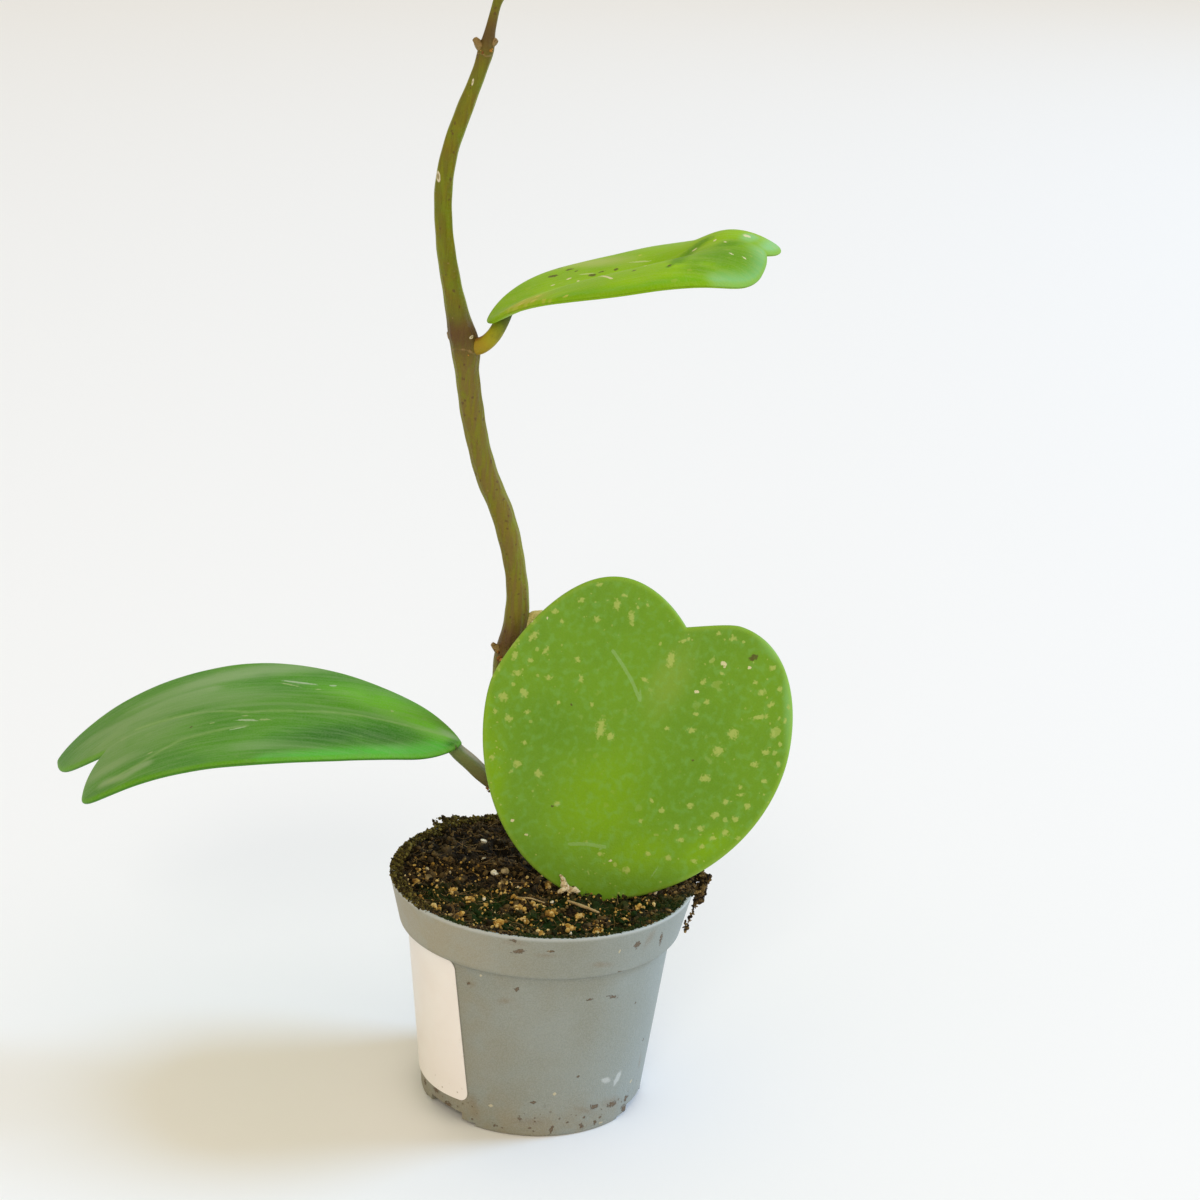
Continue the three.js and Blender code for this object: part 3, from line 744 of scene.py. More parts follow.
label = {
    "width": 50,
    "height": 44,
    "corner": 3,
    "foot": 6.5,
    "bearing": -166,
    "lift": 0.2,
    "thickness": 0.16,
    "columns": 120,
    "rows": 90,
    "edgeLift": 0.12,  # how far its edge stands off the wall, and how far in that reaches
    "edgeReach": 1.5,
    "sharpAngle": 50,
    "cream": paint(247, 241, 236),
    "shade": paint(243, 234, 227),
    "stain": paint(150, 128, 96),
    "fibre": (0.9, 0.88, 0.84, 1),
}


def labelMaterial():
    material, tree, shader, place = newMaterial("creamLabelPaper", 0.42)
    shader.inputs["Coat Weight"].default_value = 0.15
    cloud = cloudMask(tree, place, 60.0, 0.3, 0.75)
    colour = mixColour(tree, cloud, label["cream"], label["shade"])
    fibre = grainNode(tree, place, 1800.0, 0.6)
    colour = layTint(tree, colour, fibre.outputs["Mask"], 0.12, label["fibre"])
    edge = ramp(tree, fieldOf(tree, "edge"), 1.4, 0.0)
    blot = speckMask(tree, place, 900.0, 0.25, 0.3)
    low = ramp(tree, axisOf(tree, place), 0.013, 0.007)
    dirt = times(tree, blot, most(tree, times(tree, edge, 0.3), low))
    colour = layTint(tree, colour, dirt, 0.7, label["stain"])
    colour = layTint(tree, colour, edge, 0.25, label["shade"])
    finishMaterial(tree, shader, colour, fibre.outputs["Height"], 0.00005)
    return material


def addLabel():
    taper = math.atan(bodySlope)
    apex = (pot["base"] + bodySlope * label["foot"]) / math.sin(taper)
    bend = np.linspace(0, math.pi, label["columns"])
    x = -0.5 * label["width"] * np.cos(bend)
    into = np.maximum(np.abs(x) - (label["width"] / 2 - label["corner"]), 0)
    trim = label["corner"] - np.sqrt(np.maximum(label["corner"] ** 2 - into**2, 0))
    up = np.linspace(0, 1, label["rows"])[:, None]
    y = trim + (label["height"] - 2 * trim) * up
    x = np.broadcast_to(x, y.shape)
    slant = np.hypot(apex + y, x)
    turn = math.radians(label["bearing"]) + np.arctan2(x, apex + y) / math.sin(taper)
    edge = np.minimum(label["width"] / 2 - np.abs(x), np.minimum(y, label["height"] - y))
    lift = label["lift"] + label["edgeLift"] * np.exp(-edge / label["edgeReach"])
    radius = slant * math.sin(taper) + lift * math.cos(taper)
    height = (slant * math.sin(taper) - pot["base"]) / bodySlope - lift * math.sin(taper)
    points = roundAxis(radius, turn, height).reshape(-1, 3)
    faces = gridFaces(label["rows"], label["columns"], False).tolist()
    piece = makePiece("bareLabel", points, faces, {"edge": edge.ravel()}, ["label"])
    paper = piece.modifiers.new("paper", "SOLIDIFY")
    paper.thickness = label["thickness"] * metres
    paper.offset = -1
    applyModifiers(piece)
    sharpenEdges(piece.data, label["sharpAngle"])
    piece.data.materials.append(labelMaterial())
    print("label:", len(piece.data.vertices), "points")


addLabel()


# The soil: a lumpy body, and crumbs, grains, fibres and moss strewn on it from one seed.

soil = {
    "level": 63.4,
    "mouth": 64,  # the height that the reach of what is strewn is taken at
    "mound": (-24, 30, 1.4, 13),  # x, y, rise and spread
    "dip": (6, -30, -1.6, 14),
    "hollow": ((500, 852), -3.8, 3.6),  # pixel, rise and spread
    "roughness": 0.8,
    "rings": 130,
    "sectors": 400,
    "crumbs": (2350, 0.22, 0.8),  # how many, with the least and the greatest radius
    "lumps": (330, 0.5, 1.35),
    "wallBank": (900, 0.3, 0.8),  # crumbs against the wall at the right
    "bankSpan": (-48, 52),
    # crusts on the lip: count, least and greatest radius, bearings, the band's rim and depth, and rise
    "crust": (1900, 0.16, 0.48, 88, 224, 0.1, 3.4, 1.3),
    "rightCrust": (620, 0.25, 0.75, -14, 34, 0.0, 4.0, 0.9),
    "lipGrit": (1700, 0.14, 0.4, 192, 368, 0.75, 1.9, 0.25),
    "bodyLumps": (3.1, 0.6),  # their size and rise
    "bodyGrit": (1.2, 0.45),
    "bodyGap": 0.35,  # between the body and the pot's wall
    "edgeRadius": 41,  # where the height of the soil's edge is taken
    "fibres": 1500,
    "fibreLengths": (1.0, 5.0),
    "fibreRadii": (0.05, 0.15),
    "fibreSides": 5,
    "grainsEach": 17,  # grains in a clump of size 1
    "looseGrains": 520,
    "looseReach": 39,
    "seed": 11,
    "peat": [
        paint(15, 11, 6), paint(42, 33, 19), paint(78, 62, 38), paint(114, 92, 54), paint(170, 142, 92),
    ],
    "crustTints": [paint(34, 27, 14), paint(66, 54, 24), paint(96, 86, 38), paint(142, 126, 62)],
    "straw": [paint(58, 42, 24), paint(104, 80, 46), paint(146, 118, 74), paint(196, 172, 128)],
    "orange": [paint(118, 84, 34), paint(176, 134, 56), paint(210, 172, 92), paint(224, 202, 146)],
    "pale": [paint(184, 162, 120), paint(220, 202, 162), paint(238, 228, 206)],
    "moss": paint(24, 46, 6),
    # what leans over the rim at the right, with radii, and the rootlet with crumbs that hangs from it
    "overhangEach": 95,  # crumbs in each clump
    "trailCrumbs": 64,
    "overhang": [
        (39.2, 4.5, 65.2, 2.6), (42.6, 3.6, 66.2, 2.3), (45.0, 2.5, 64.9, 2.0), (44.7, 1.2, 62.2, 1.7),
        (44.1, 0.2, 60.0, 1.5),
    ],
    "trail": [(44.6, 1, 62.5), (43.2, -0.6, 59.2), (42.6, -1, 56.3), (41.6, -1, 53.2), (41.2, -1, 50.1)],
    "sprigStalks": 9,
    "sprigSteps": 14,
    "sprigs": [  # small mossy tufts at the back: x, y and height
        (-31.0, 26.0, 1.2), (-30.5, 29.0, 1.5), (-29.0, 31.5, 1.7), (-26.5, 33.5, 1.5),
        (-24.0, 35.0, 1.3), (-21.5, 36.2, 1.7), (-19.0, 37.0, 1.2), (-16.5, 37.4, 1.6),
        (-13.0, 38.0, 1.3), (-10.0, 38.6, 1.0),
    ],
    "rootlets": [  # at the foot of the large leaf
        [(5.2, -8.9, 68.6, 0.35), (5.9, -9.5, 67.0, 0.6),
         (6.9, -9.9, 65.8, 0.7), (7.8, -10.4, 64.4, 0.55)],
        [(7.4, -10.0, 65.7, 0.6), (8.8, -10.3, 65.2, 0.55), (10.2, -10.4, 64.9, 0.4)],
        [(6.6, -9.9, 65.9, 0.6), (6.0, -10.6, 65.1, 0.5), (5.0, -11.2, 64.7, 0.4)],
        [(7.2, -17.0, 64.9, 0.3), (11.4, -19.8, 64.8, 0.48), (15.9, -22.9, 64.6, 0.26)],
        [(-6.5, -16.5, 64.8, 0.2), (-3.0, -18.4, 65.6, 0.24), (1.0, -19.0, 64.8, 0.2)],
    ],
    # clumps of grains, and then white grit, each by pixel and size
    "clumps": [
        (498, 922, 2.0), (551, 910, 1.5), (571, 923, 1.6), (598, 926, 1.4), (519, 897, 1.0),
        (520, 904, 1.1), (538, 901, 1.0), (525, 916, 1.0), (410, 895, 1.6), (436, 906, 1.2),
        (549, 883, 1.1), (470, 900, 1.3), (452, 889, 1.0), (486, 905, 0.9), (625, 918, 1.0),
        (509, 884, 0.8), (461, 912, 0.9), (640, 905, 1.2), (417, 880, 0.9), (580, 910, 0.9),
        (540, 926, 0.9), (608, 930, 0.7),
    ],
    "perlite": [
        (494, 873, 1.15), (505, 870, 1.0), (483, 859, 0.7), (552, 901, 0.5), (484, 898, 0.5),
        (518, 886, 0.6), (484, 843, 0.8), (427, 868, 0.5), (597, 934, 0.8), (655, 893, 0.6),
        (450, 872, 0.4), (571, 931, 0.5),
    ],
}


hollow = (*onLevel(soil["hollow"][0], soil["level"])[:2], *soil["hollow"][1:])


def soilHeight(x, y):
    level = soil["level"]
    for cx, cy, rise, spread in (soil["mound"], soil["dip"], hollow):
        level = level + rise * np.exp(-((x - cx) ** 2 + (y - cy) ** 2) / (2 * spread**2))
    coarse = np.sin(0.31 * x + 1.3) * np.cos(0.27 * y - 0.4)
    fine = np.sin(0.93 * x - 0.71 * y) + np.cos(1.07 * y + 0.63 * x + 2.1)
    return level + soil["roughness"] * (0.7 * coarse + 0.45 * fine)


def wallInside(height):  # radius of the pot's inner wall near its mouth
    low = pot["collarFoot"] + collarSlope * pot["wall"] - pot["wall"]
    high = pot["rimRadius"] - pot["lip"]
    foot = bodyHeight + pot["wall"] + pot["ledgeRise"]
    return low + (high - low) * np.clip((height - foot) / (pot["height"] - foot), 0, 1)


def ballShape(divisions):
    ball = bmesh.new()
    bmesh.ops.create_icosphere(ball, subdivisions=divisions, radius=1)
    points = np.array([v.co[:] for v in ball.verts])
    faces = np.array([[v.index for v in f.verts] for f in ball.faces])
    ball.free()
    return points, faces


# Many uneven crumbs in one mesh. Each has its own stretch, turn, dents and tone, drawn from the seed.
def crumbMesh(centres, radii, divisions, random, dent):
    ball, ballFaces = ballShape(divisions)
    points, faces, tones = [], [], []
    for i, (centre, radius) in enumerate(zip(centres, radii)):
        turn, _ = np.linalg.qr(random.normal(size=(3, 3)))
        if np.linalg.det(turn) < 0:
            turn[:, 0] = -turn[:, 0]
        stretch = random.uniform(0.55, 1.35, 3)
        waves = random.normal(size=(3, 3)) * 2.3
        dents = np.sin(ball @ waves.T + random.uniform(0, 6.28, 3)).sum(1) / 3
        shape = ball * stretch * (1 + dent * dents)[:, None]
        points.append(shape @ turn.T * radius + centre)
        faces.append(ballFaces + i * len(ball))
        tones.append(np.full(len(ball), random.random()))
    return np.vstack(points), np.vstack(faces), np.concatenate(tones)


def addCrumbs(name, centres, radii, divisions, random, material, dent=0.6):
    points, faces, tones = crumbMesh(centres, radii, divisions, random, dent)
    piece = makePiece(name, points, faces.tolist(), {"tone": tones})
    piece.data.shade_flat()
    piece.data.materials.append(material)
    print(name, len(faces), "faces")


def soilMaterial(name, tints, evenness, mossy, gloss=0.15):
    material, tree, shader, place = newMaterial(name, 0.95, gloss)
    cloud = cloudMask(tree, place, 620.0, 0.35, 0.75, 5.0)
    tone = mathNode(tree, "POWER", fieldOf(tree, "tone"), evenness)
    tone = plus(tree, times(tree, tone, 0.8), times(tree, cloud, 0.2))
    colour = palette(tree, tone, tints)
    if mossy:
        patch = cloudMask(tree, place, 130.0, 0.38, 0.56)
        front = ramp(tree, axisOf(tree, place, "Y"), -0.002, -0.018)
        moss = times(tree, patch, front)
        colour = layTint(tree, colour, moss, 0.85, soil["moss"])
        # Painted shade: the soil is darkened round the hollow at the large leaf's foot, where the leaf's
        # shadow falls.
        hollowShadeCentre = (hollow[0] * metres, hollow[1] * metres, (soil["level"] - 2) * metres)
        away = addNode(tree, "VectorMath", {0: place, 1: hollowShadeCentre}, operation="DISTANCE").outputs["Value"]
        colour = mixColour(tree, ramp(tree, away, 0.0075, 0.003, 0.0, 0.85), colour, tints[0])
    fine = grainNode(tree, place, 1700.0, 1.2)
    shade = times(tree, ramp(tree, fine.outputs["Height"], 0.9, 0.5), 0.5)
    colour = mixColour(tree, shade, colour, tints[0])
    finishMaterial(tree, shader, colour, fine.outputs["Height"], 0.0004)
    return material


def addSoilBody(material):
    sectors = soil["sectors"]
    angles = 2 * math.pi * np.arange(sectors) / sectors
    edge = soilHeight(soil["edgeRadius"] * np.cos(angles), soil["edgeRadius"] * np.sin(angles))
    reach = wallInside(edge) - soil["bodyGap"]
    rows = []
    for i in range(1, soil["rings"] + 1):
        radius = reach * i / soil["rings"]
        x, y = radius * np.cos(angles), radius * np.sin(angles)
        rows.append(np.stack([x, y, soilHeight(x, y)], 1))
    top = np.vstack(rows)
    lumpSize, lumpRise = soil["bodyLumps"]
    gritSize, gritRise = soil["bodyGrit"]
    lumps = noiseAt(top, lumpSize, 1)
    grit = noiseAt(top, gritSize, 2)
    top[:, 2] += lumpRise * lumps + gritRise * grit - 0.3
    foot = bodyHeight + pot["wall"]
    low = pot["base"] + bodySlope * pot["floor"] - pot["wall"]
    ledge = (pot["bodyTop"] - pot["wall"] - 0.5, foot - 0.4)
    for radius, height in (ledge, (low - 0.5, pot["floor"] + 0.4)):
        top = np.vstack([top, roundAxis(radius, angles, height)])
    rings = soil["rings"] + 2
    points = np.vstack([top, [0, 0, soilHeight(0.0, 0.0)], [0, 0, pot["floor"] + 0.4]])
    faces = [face[::-1] for face in gridFaces(rings, sectors, True).tolist()]
    faces += capFaces(rings, sectors, (len(points) - 2, len(points) - 1), flip=True)
    tone = np.full(len(points), 0.3)
    tone[: len(lumps)] = np.clip(0.42 + 0.25 * lumps + 0.3 * grit, 0, 1)
    piece = makePiece("peatBody", points, faces, {"tone": tone}, ["soil"])
    piece.data.materials.append(material)


def scatter(random, count, reach):
    spots = np.arange(count)
    distance = reach * np.sqrt((spots + 0.5) / count)
    angle = spots * math.pi * (3 - math.sqrt(5)) + 0.9 * random.random(count)
    return distance * np.cos(angle), distance * np.sin(angle)


def strewCrumbs(random, kind, share):  # places and radii of crumbs over the whole soil
    count, low, high = soil[kind]
    x, y = scatter(random, count, wallInside(soil["mouth"]) - 0.7)
    radii = low + (high - low) * random.random(count) ** 2.2
    return np.stack([x, y, soilHeight(x, y) + share * radii], 1), radii


def overhangCrumbs(random):
    clumps = []
    for cx, cy, cz, size in soil["overhang"]:
        for _ in range(soil["overhangEach"]):
            way = random.normal(size=3)
            way /= np.linalg.norm(way)
            spot = np.array([cx, cy, cz]) + way * size * random.uniform(0.2, 1.05)
            clumps.append((*spot, random.uniform(0.2, 0.62)))
    steps = 60
    line = smoothRoute([(*point, 0) for point in soil["trail"]], steps)[:, :3]
    for spot in line[(steps * random.random(soil["trailCrumbs"]) ** 1.3).astype(int)]:
        clumps.append((*(spot + random.normal(size=3) * (0.3, 0.3, 0.2)), random.uniform(0.16, 0.42)))
    clumps = np.array(clumps)
    outside = np.hypot(clumps[:, 0], clumps[:, 1])
    wall = pot["collarFoot"] + collarSlope * (clumps[:, 2] - bodyHeight)
    keep = (clumps[:, 2] > pot["height"] + 0.2) | (outside > wall + 0.25)
    return clumps[keep, :3], clumps[keep, 3]


def crustCrumbs(random, kind):  # a thin bank of fine crumbs over a part of the lip
    count, low, high, start, end, rim, reach, rise = soil[kind]
    share = random.random(count)
    bearing = np.radians(start + (end - start) * share)
    fade = np.clip(np.sin(math.pi * share), 0, 1) ** 0.5
    radial = pot["rimRadius"] - rim - reach * random.random(count) ** 1.2
    bank = np.clip((pot["rimRadius"] + 0.1 - radial) / 1.2, 0, 1)
    height = pot["height"] - 0.1 + fade * bank * random.uniform(0.0, rise, count)
    radii = low + (high - low) * random.random(count) ** 1.6 * (0.4 + 0.6 * fade)
    return roundAxis(radial, bearing, height), radii


def bankCrumbs(random):  # crumbs that lie against the wall at the right, up to the lip
    count, low, high = soil["wallBank"]
    start, end = soil["bankSpan"]
    share = random.random(count)
    bearing = np.radians(start + (end - start) * share)
    fade = np.sin(math.pi * share) ** 0.5
    radii = low + (high - low) * random.random(count) ** 1.8
    inwards = 4.5 * random.random(count) ** 1.3
    height = pot["height"] - 0.9 + fade * (0.9 - 0.25 * inwards) + random.uniform(-0.5, 0.4, count)
    radial = wallInside(height) - 0.15 - 0.9 * radii - inwards
    return roundAxis(radial, bearing, height), radii


def sprigLines(random):  # the stalks of small mossy tufts at the back
    lines = []
    for x, y, tall in soil["sprigs"]:
        ground = soilHeight(x, y)
        for _ in range(soil["sprigStalks"]):
            lean = random.normal(size=2) * 1.1
            top = (x + lean[0], y + lean[1], ground + tall * random.uniform(0.5, 1.0))
            middle = (x + 0.3 * lean[0], y + 0.3 * lean[1], ground + 0.45 * tall)
            route = [(x, y, ground - 0.4, 0.16), (*middle, 0.13), (*top, 0.08)]
            lines.append(smoothRoute(route, soil["sprigSteps"]))
    return lines


def sprigCrumbs(random, lines):
    places = [point + random.normal(size=3) * 0.2 for line in lines for point in line[:, :3]]
    return places, random.uniform(0.14, 0.42, len(places))


def addFibres(random, sprigs):
    lines = [(line, 0.1) for line in sprigs]
    for _ in range(soil["fibres"]):
        distance = (wallInside(soil["mouth"]) - 0.6) * math.sqrt(random.random())
        angle = random.uniform(0, 2 * math.pi)
        start = np.array([distance * math.cos(angle), distance * math.sin(angle), 0.0])
        start[2] = soilHeight(start[0], start[1]) - 0.2
        heading = random.uniform(0, 2 * math.pi)
        way = np.array([math.cos(heading), math.sin(heading), random.uniform(-0.05, 0.5)])
        length = random.uniform(*soil["fibreLengths"])
        bend = random.normal(size=3) * 0.4
        share = np.linspace(0, 1, 7)[:, None]
        run = start + way * length * share + bend * length * share**2 * np.array([1, 1, 0.3])
        run[:, 2] = np.maximum(run[:, 2], soilHeight(run[:, 0], run[:, 1]) + 0.1)
        out = np.hypot(run[:, 0], run[:, 1])
        run[:, :2] *= (np.minimum(out, wallInside(soil["mouth"]) - 0.5) / np.maximum(out, 1e-6))[:, None]
        radius = random.uniform(*soil["fibreRadii"]) * (1 - 0.6 * share)
        lines.append((np.hstack([run, radius]), 0.75 * random.random()))
    for route in soil["rootlets"]:
        lines.append((smoothRoute(route, 24), 1.0))
    lines.append((smoothRoute([(*point, 0.14) for point in soil["trail"]], 30), 0.3))
    points, faces, tones = [], [], []
    count = 0
    for line, tone in lines:
        ring, quads, _ = tube(line, soil["fibreSides"])
        points.append(ring)
        faces += [[index + count for index in face] for face in quads]
        tones.append(np.full(len(ring), tone))
        count += len(ring)
    fields = {"tone": np.concatenate(tones)}
    piece = makePiece("peatFibres", np.vstack(points), faces, fields)
    piece.data.materials.append(soilMaterial("peatFibre", soil["straw"], 1.2, False))


def grainSpots(random):
    places, radii = [], []
    for px, py, size in soil["clumps"]:
        x, y, _ = onLevel((px, py), soil["level"] + 0.8)
        for _ in range(round(soil["grainsEach"] * size)):
            dx, dy = random.normal(size=2) * size * 0.5
            radius = random.uniform(0.26, 0.7)
            height = soilHeight(x + dx, y + dy) + 0.5 + 0.35 * size * random.random()
            places.append((x + dx, y + dy, height))
            radii.append(radius)
    for _ in range(soil["looseGrains"]):
        distance = soil["looseReach"] * math.sqrt(random.random())
        angle = random.uniform(-3.4, 0.4)
        x, y = distance * math.cos(angle), distance * math.sin(angle)
        radius = random.uniform(0.16, 0.42)
        places.append((x, y, soilHeight(x, y) + 0.5 * radius + 0.45))
        radii.append(radius)
    return np.array(places), radii


def addSoil(random):
    # The body under the crumbs is near black: the peat's own dark colour, darkened further as painted shade
    # in the gaps between crumbs.
    peat = soilMaterial("darkPeatAndGapShade", soil["peat"][:4], 2.0, True)
    crumb = soilMaterial("peatCrumb", soil["peat"], 1.25, True)
    crust = soilMaterial("algaeCrust", soil["crustTints"], 1.0, False)
    addSoilBody(peat)
    addCrumbs("peatCrumbs", *strewCrumbs(random, "crumbs", 0.5), 2, random, crumb)
    addCrumbs("peatLumps", *strewCrumbs(random, "lumps", 0.0), 3, random, crumb)
    addCrumbs("peatOverhang", *overhangCrumbs(random), 3, random, crumb)
    addCrumbs("wallBank", *bankCrumbs(random), 2, random, crumb)
    addCrumbs("lipCrust", *crustCrumbs(random, "crust"), 2, random, crust)
    addCrumbs("rightCrust", *crustCrumbs(random, "rightCrust"), 2, random, crumb)
    addCrumbs("lipGrit", *crustCrumbs(random, "lipGrit"), 2, random, crumb)
    sprigs = sprigLines(random)
    addCrumbs("mossySprigs", *sprigCrumbs(random, sprigs), 2, random, crust)
    addFibres(random, sprigs)
    orange = soilMaterial("tanGrain", soil["orange"], 1.0, False, 0.3)
    addCrumbs("tanGrains", *grainSpots(random), 2, random, orange, 0.25)
    places = [onLevel((px, py), soil["level"] + 0.8) for px, py, _ in soil["perlite"]]
    places = [(x, y, soilHeight(x, y) + 0.7) for x, y, _ in places]
    sizes = [size for _, _, size in soil["perlite"]]
    for route in soil["rootlets"][:3]:
        for spot in smoothRoute(route, 9):
            places.append(spot[:3] + random.normal(size=3) * 0.15)
            sizes.append(spot[3] * random.uniform(0.9, 1.4))
    pale = soilMaterial("paleGrit", soil["pale"], 0.7, False, 0.3)
    addCrumbs("perlite", places, sizes, 2, random, pale, 0.5)
    print("soil is in")


addSoil(np.random.default_rng(soil["seed"]))


# The stem: a tube through its route, with stubs, swollen joints, scars and bits of bark.

stem = {
    "route": [  # x, y, z and radius
        (7.5, 1.5, 36, 2.4), (6.6, 2.0, 52, 3.0), (3.8, 3.6, 63.1, 3.1), (0.6, 5.4, 69.6, 3.2),
        (-5.6, 8.2, 78.7, 3.4), (-11.0, 10.5, 85.6, 3.9), (-12.9, 12.5, 93.3, 3.2),
        (-13.5, 15.0, 104.3, 3.2), (-13.7, 18.0, 117.5, 3.4), (-12.9, 19.0, 123.2, 3.9),
        (-11.8, 19.5, 129.0, 3.5), (-11.3, 19.5, 138.4, 3.2), (-13.2, 19.0, 150.9, 3.0),
        (-16.8, 18.0, 163.6, 3.2), (-21.4, 17.0, 174.3, 3.1), (-25.2, 15.0, 188.0, 3.1),
        (-27.9, 12.5, 203.6, 3.3), (-28.7, 11.5, 211.1, 3.9), (-30.2, 11.0, 216.2, 3.4),
        (-32.8, 9.5, 227.3, 2.6), (-35.0, 8.0, 239.3, 2.4), (-35.9, 7.0, 252.4, 2.3),
        (-34.6, 7.0, 262.8, 2.2), (-31.7, 7.5, 272.4, 2.1), (-28.1, 8.0, 282.9, 1.9),
        (-26.6, 8.0, 288.5, 2.0), (-25.6, 8.0, 294.3, 1.3), (-24.4, 8.0, 300.1, 1.2),
        (-23.6, 8.1, 302.6, 1.5),
    ],
    "stubs": [
        [(-26.8, 8, 288.0, 1.2), (-28.6, 7.4, 290.0, 1.1), (-29.6, 7.1, 291.3, 0.7)],
        [(-26.6, 8, 288.6, 1.2), (-24.9, 7.7, 290.4, 1.0), (-24.1, 7.5, 291.4, 0.7)],
        [(-29.0, 11.6, 210.5, 1.6), (-31.9, 12.6, 213.0, 1.5), (-33.2, 13.2, 214.2, 0.9)],
        [(-13.0, 19, 122.4, 1.5), (-16.2, 17.6, 124.4, 1.2), (-17.6, 17.0, 126.0, 0.6)],
        [(-12.4, 19, 125.5, 1.7), (-9.0, 19.6, 130.4, 1.6),
         (-6.4, 19.6, 134.0, 1.4), (-4.0, 19.4, 135.0, 0.9)],
        [(-11.6, 10.5, 85.0, 1.6), (-9.0, 13.6, 84.4, 1.5), (-7.8, 15.0, 84.6, 0.9)],
    ],
    "freshStub": 4,  # the one that is still green
    "joints": (85.2, 123.2, 211.1, 288.5),  # heights of the swollen joints
    "jointSpread": 6.0,  # how far its plum tint reaches
    "steps": 760,
    "sides": 48,
    "stubSteps": 24,
    "stubSides": 20,
    "olive": paint(120, 110, 4),
    "green": paint(112, 122, 10),
    "bark": paint(128, 114, 44),
    "plum": paint(84, 48, 34),
    "cork": paint(156, 128, 80),
    "scar": paint(214, 204, 176),
    "fresh": paint(226, 210, 136),
    "rim": paint(140, 150, 30),
    "bitTints": [paint(84, 48, 34), paint(120, 78, 40), paint(184, 128, 54), paint(190, 164, 104)],
    "seed": 5,
    # scars and sap by pixel, length and width in millimetres, and turn
    "marks": [
        (438, 177, 3.6, 2.0, 90), (473, 82, 2.4, 0.8, 80), (472, 337, 1.5, 0.9),
    ],
    "bitsEach": 9,
    "bits": [  # bark bits on the lower joints: x, y, z and size
        (-15.6, 17.0, 124.0, 1.0), (-15.2, 15.6, 122.2, 0.8), (-14.6, 15.4, 121.0, 0.6),
        (-8.8, 17.6, 128.5, 0.8), (-12.4, 7.4, 86.6, 0.8), (-12.9, 7.4, 84.2, 0.7),
        (-11.6, 7.2, 83.4, 0.6), (-27.6, 8.4, 209.0, 0.5), (-16.3, 7.6, 88.9, 0.6),
        (-16.6, 8.0, 86.4, 0.6), (-16.2, 8.7, 85.3, 0.5), (-17.0, 8.9, 86.0, 0.3),
        (-25.5, 6.4, 288.6, 0.6), (-27.4, 6.3, 288.2, 0.5), (-24.6, 8.4, 301.6, 0.7),
        (-23.2, 7.6, 302.0, 0.6),
    ],
}


def stemMaterial():
    material, tree, shader, place = newMaterial("stemBark", 0.5, 0.22)
    height = axisOf(tree, place)
    cloud = cloudMask(tree, place, 160.0, 0.3, 0.7)
    colour = mixColour(tree, cloud, stem["olive"], stem["green"])
    lengthways = addNode(tree, "VectorMath", {0: place, 1: (1, 1, 0.12)}, operation="MULTIPLY").outputs[0]
    streak = cloudMask(tree, lengthways, 900.0, 0.35, 0.65)
    woody = ramp(tree, height, 0.222, 0.205)
    colour = mixColour(tree, times(tree, woody, ramp(tree, streak, 0, 1, 0.35, 0.95)), colour, stem["bark"])
    colour = layTint(tree, colour, streak, 0.28, stem["plum"])
    # Painted rim light: the stem turns yellow-green where its surface turns away from the camera, towards
    # its outline.
    facing = addNode(tree, "LayerWeight", {"Blend": 0.5}).outputs["Facing"]
    colour = mixColour(tree, ramp(tree, facing, 0.35, 0.85, 0.0, 0.55), colour, stem["rim"])
    colour = mixColour(tree, fieldOf(tree, "plum"), colour, stem["plum"])
    corkMask = markMask(tree, place, "cork", 800.0, rim=0.5)
    colour = layTint(tree, colour, corkMask, 0.8, stem["cork"])
    dots = speckMask(tree, place, 620.0, 0.2, 0.2)
    colour = layTint(tree, colour, dots, 0.5, stem["cork"])
    browns = speckMask(tree, place, 520.0, 0.5, 0.26, 0.6)
    colour = layTint(tree, colour, browns, 0.55, stem["plum"])
    colour = layTint(tree, colour, fieldOf(tree, "fresh"), 0.8, stem["fresh"])
    scar = markMask(tree, place, "scar", 1500.0, 0.5)
    colour = mixColour(tree, scar, colour, stem["scar"])
    heart = ramp(tree, fieldOf(tree, "scar"), 0.35, 0.65)
    colour = layTint(tree, colour, heart, 0.75, stem["bark"])
    fine = grainNode(tree, place, 1500.0, 1.0)
    lift = plus(tree, fine.outputs["Height"], times(tree, corkMask, 1.5))
    lift = plus(tree, lift, times(tree, streak, 0.8))
    finishMaterial(tree, shader, colour, lift, 0.00022)
    return material


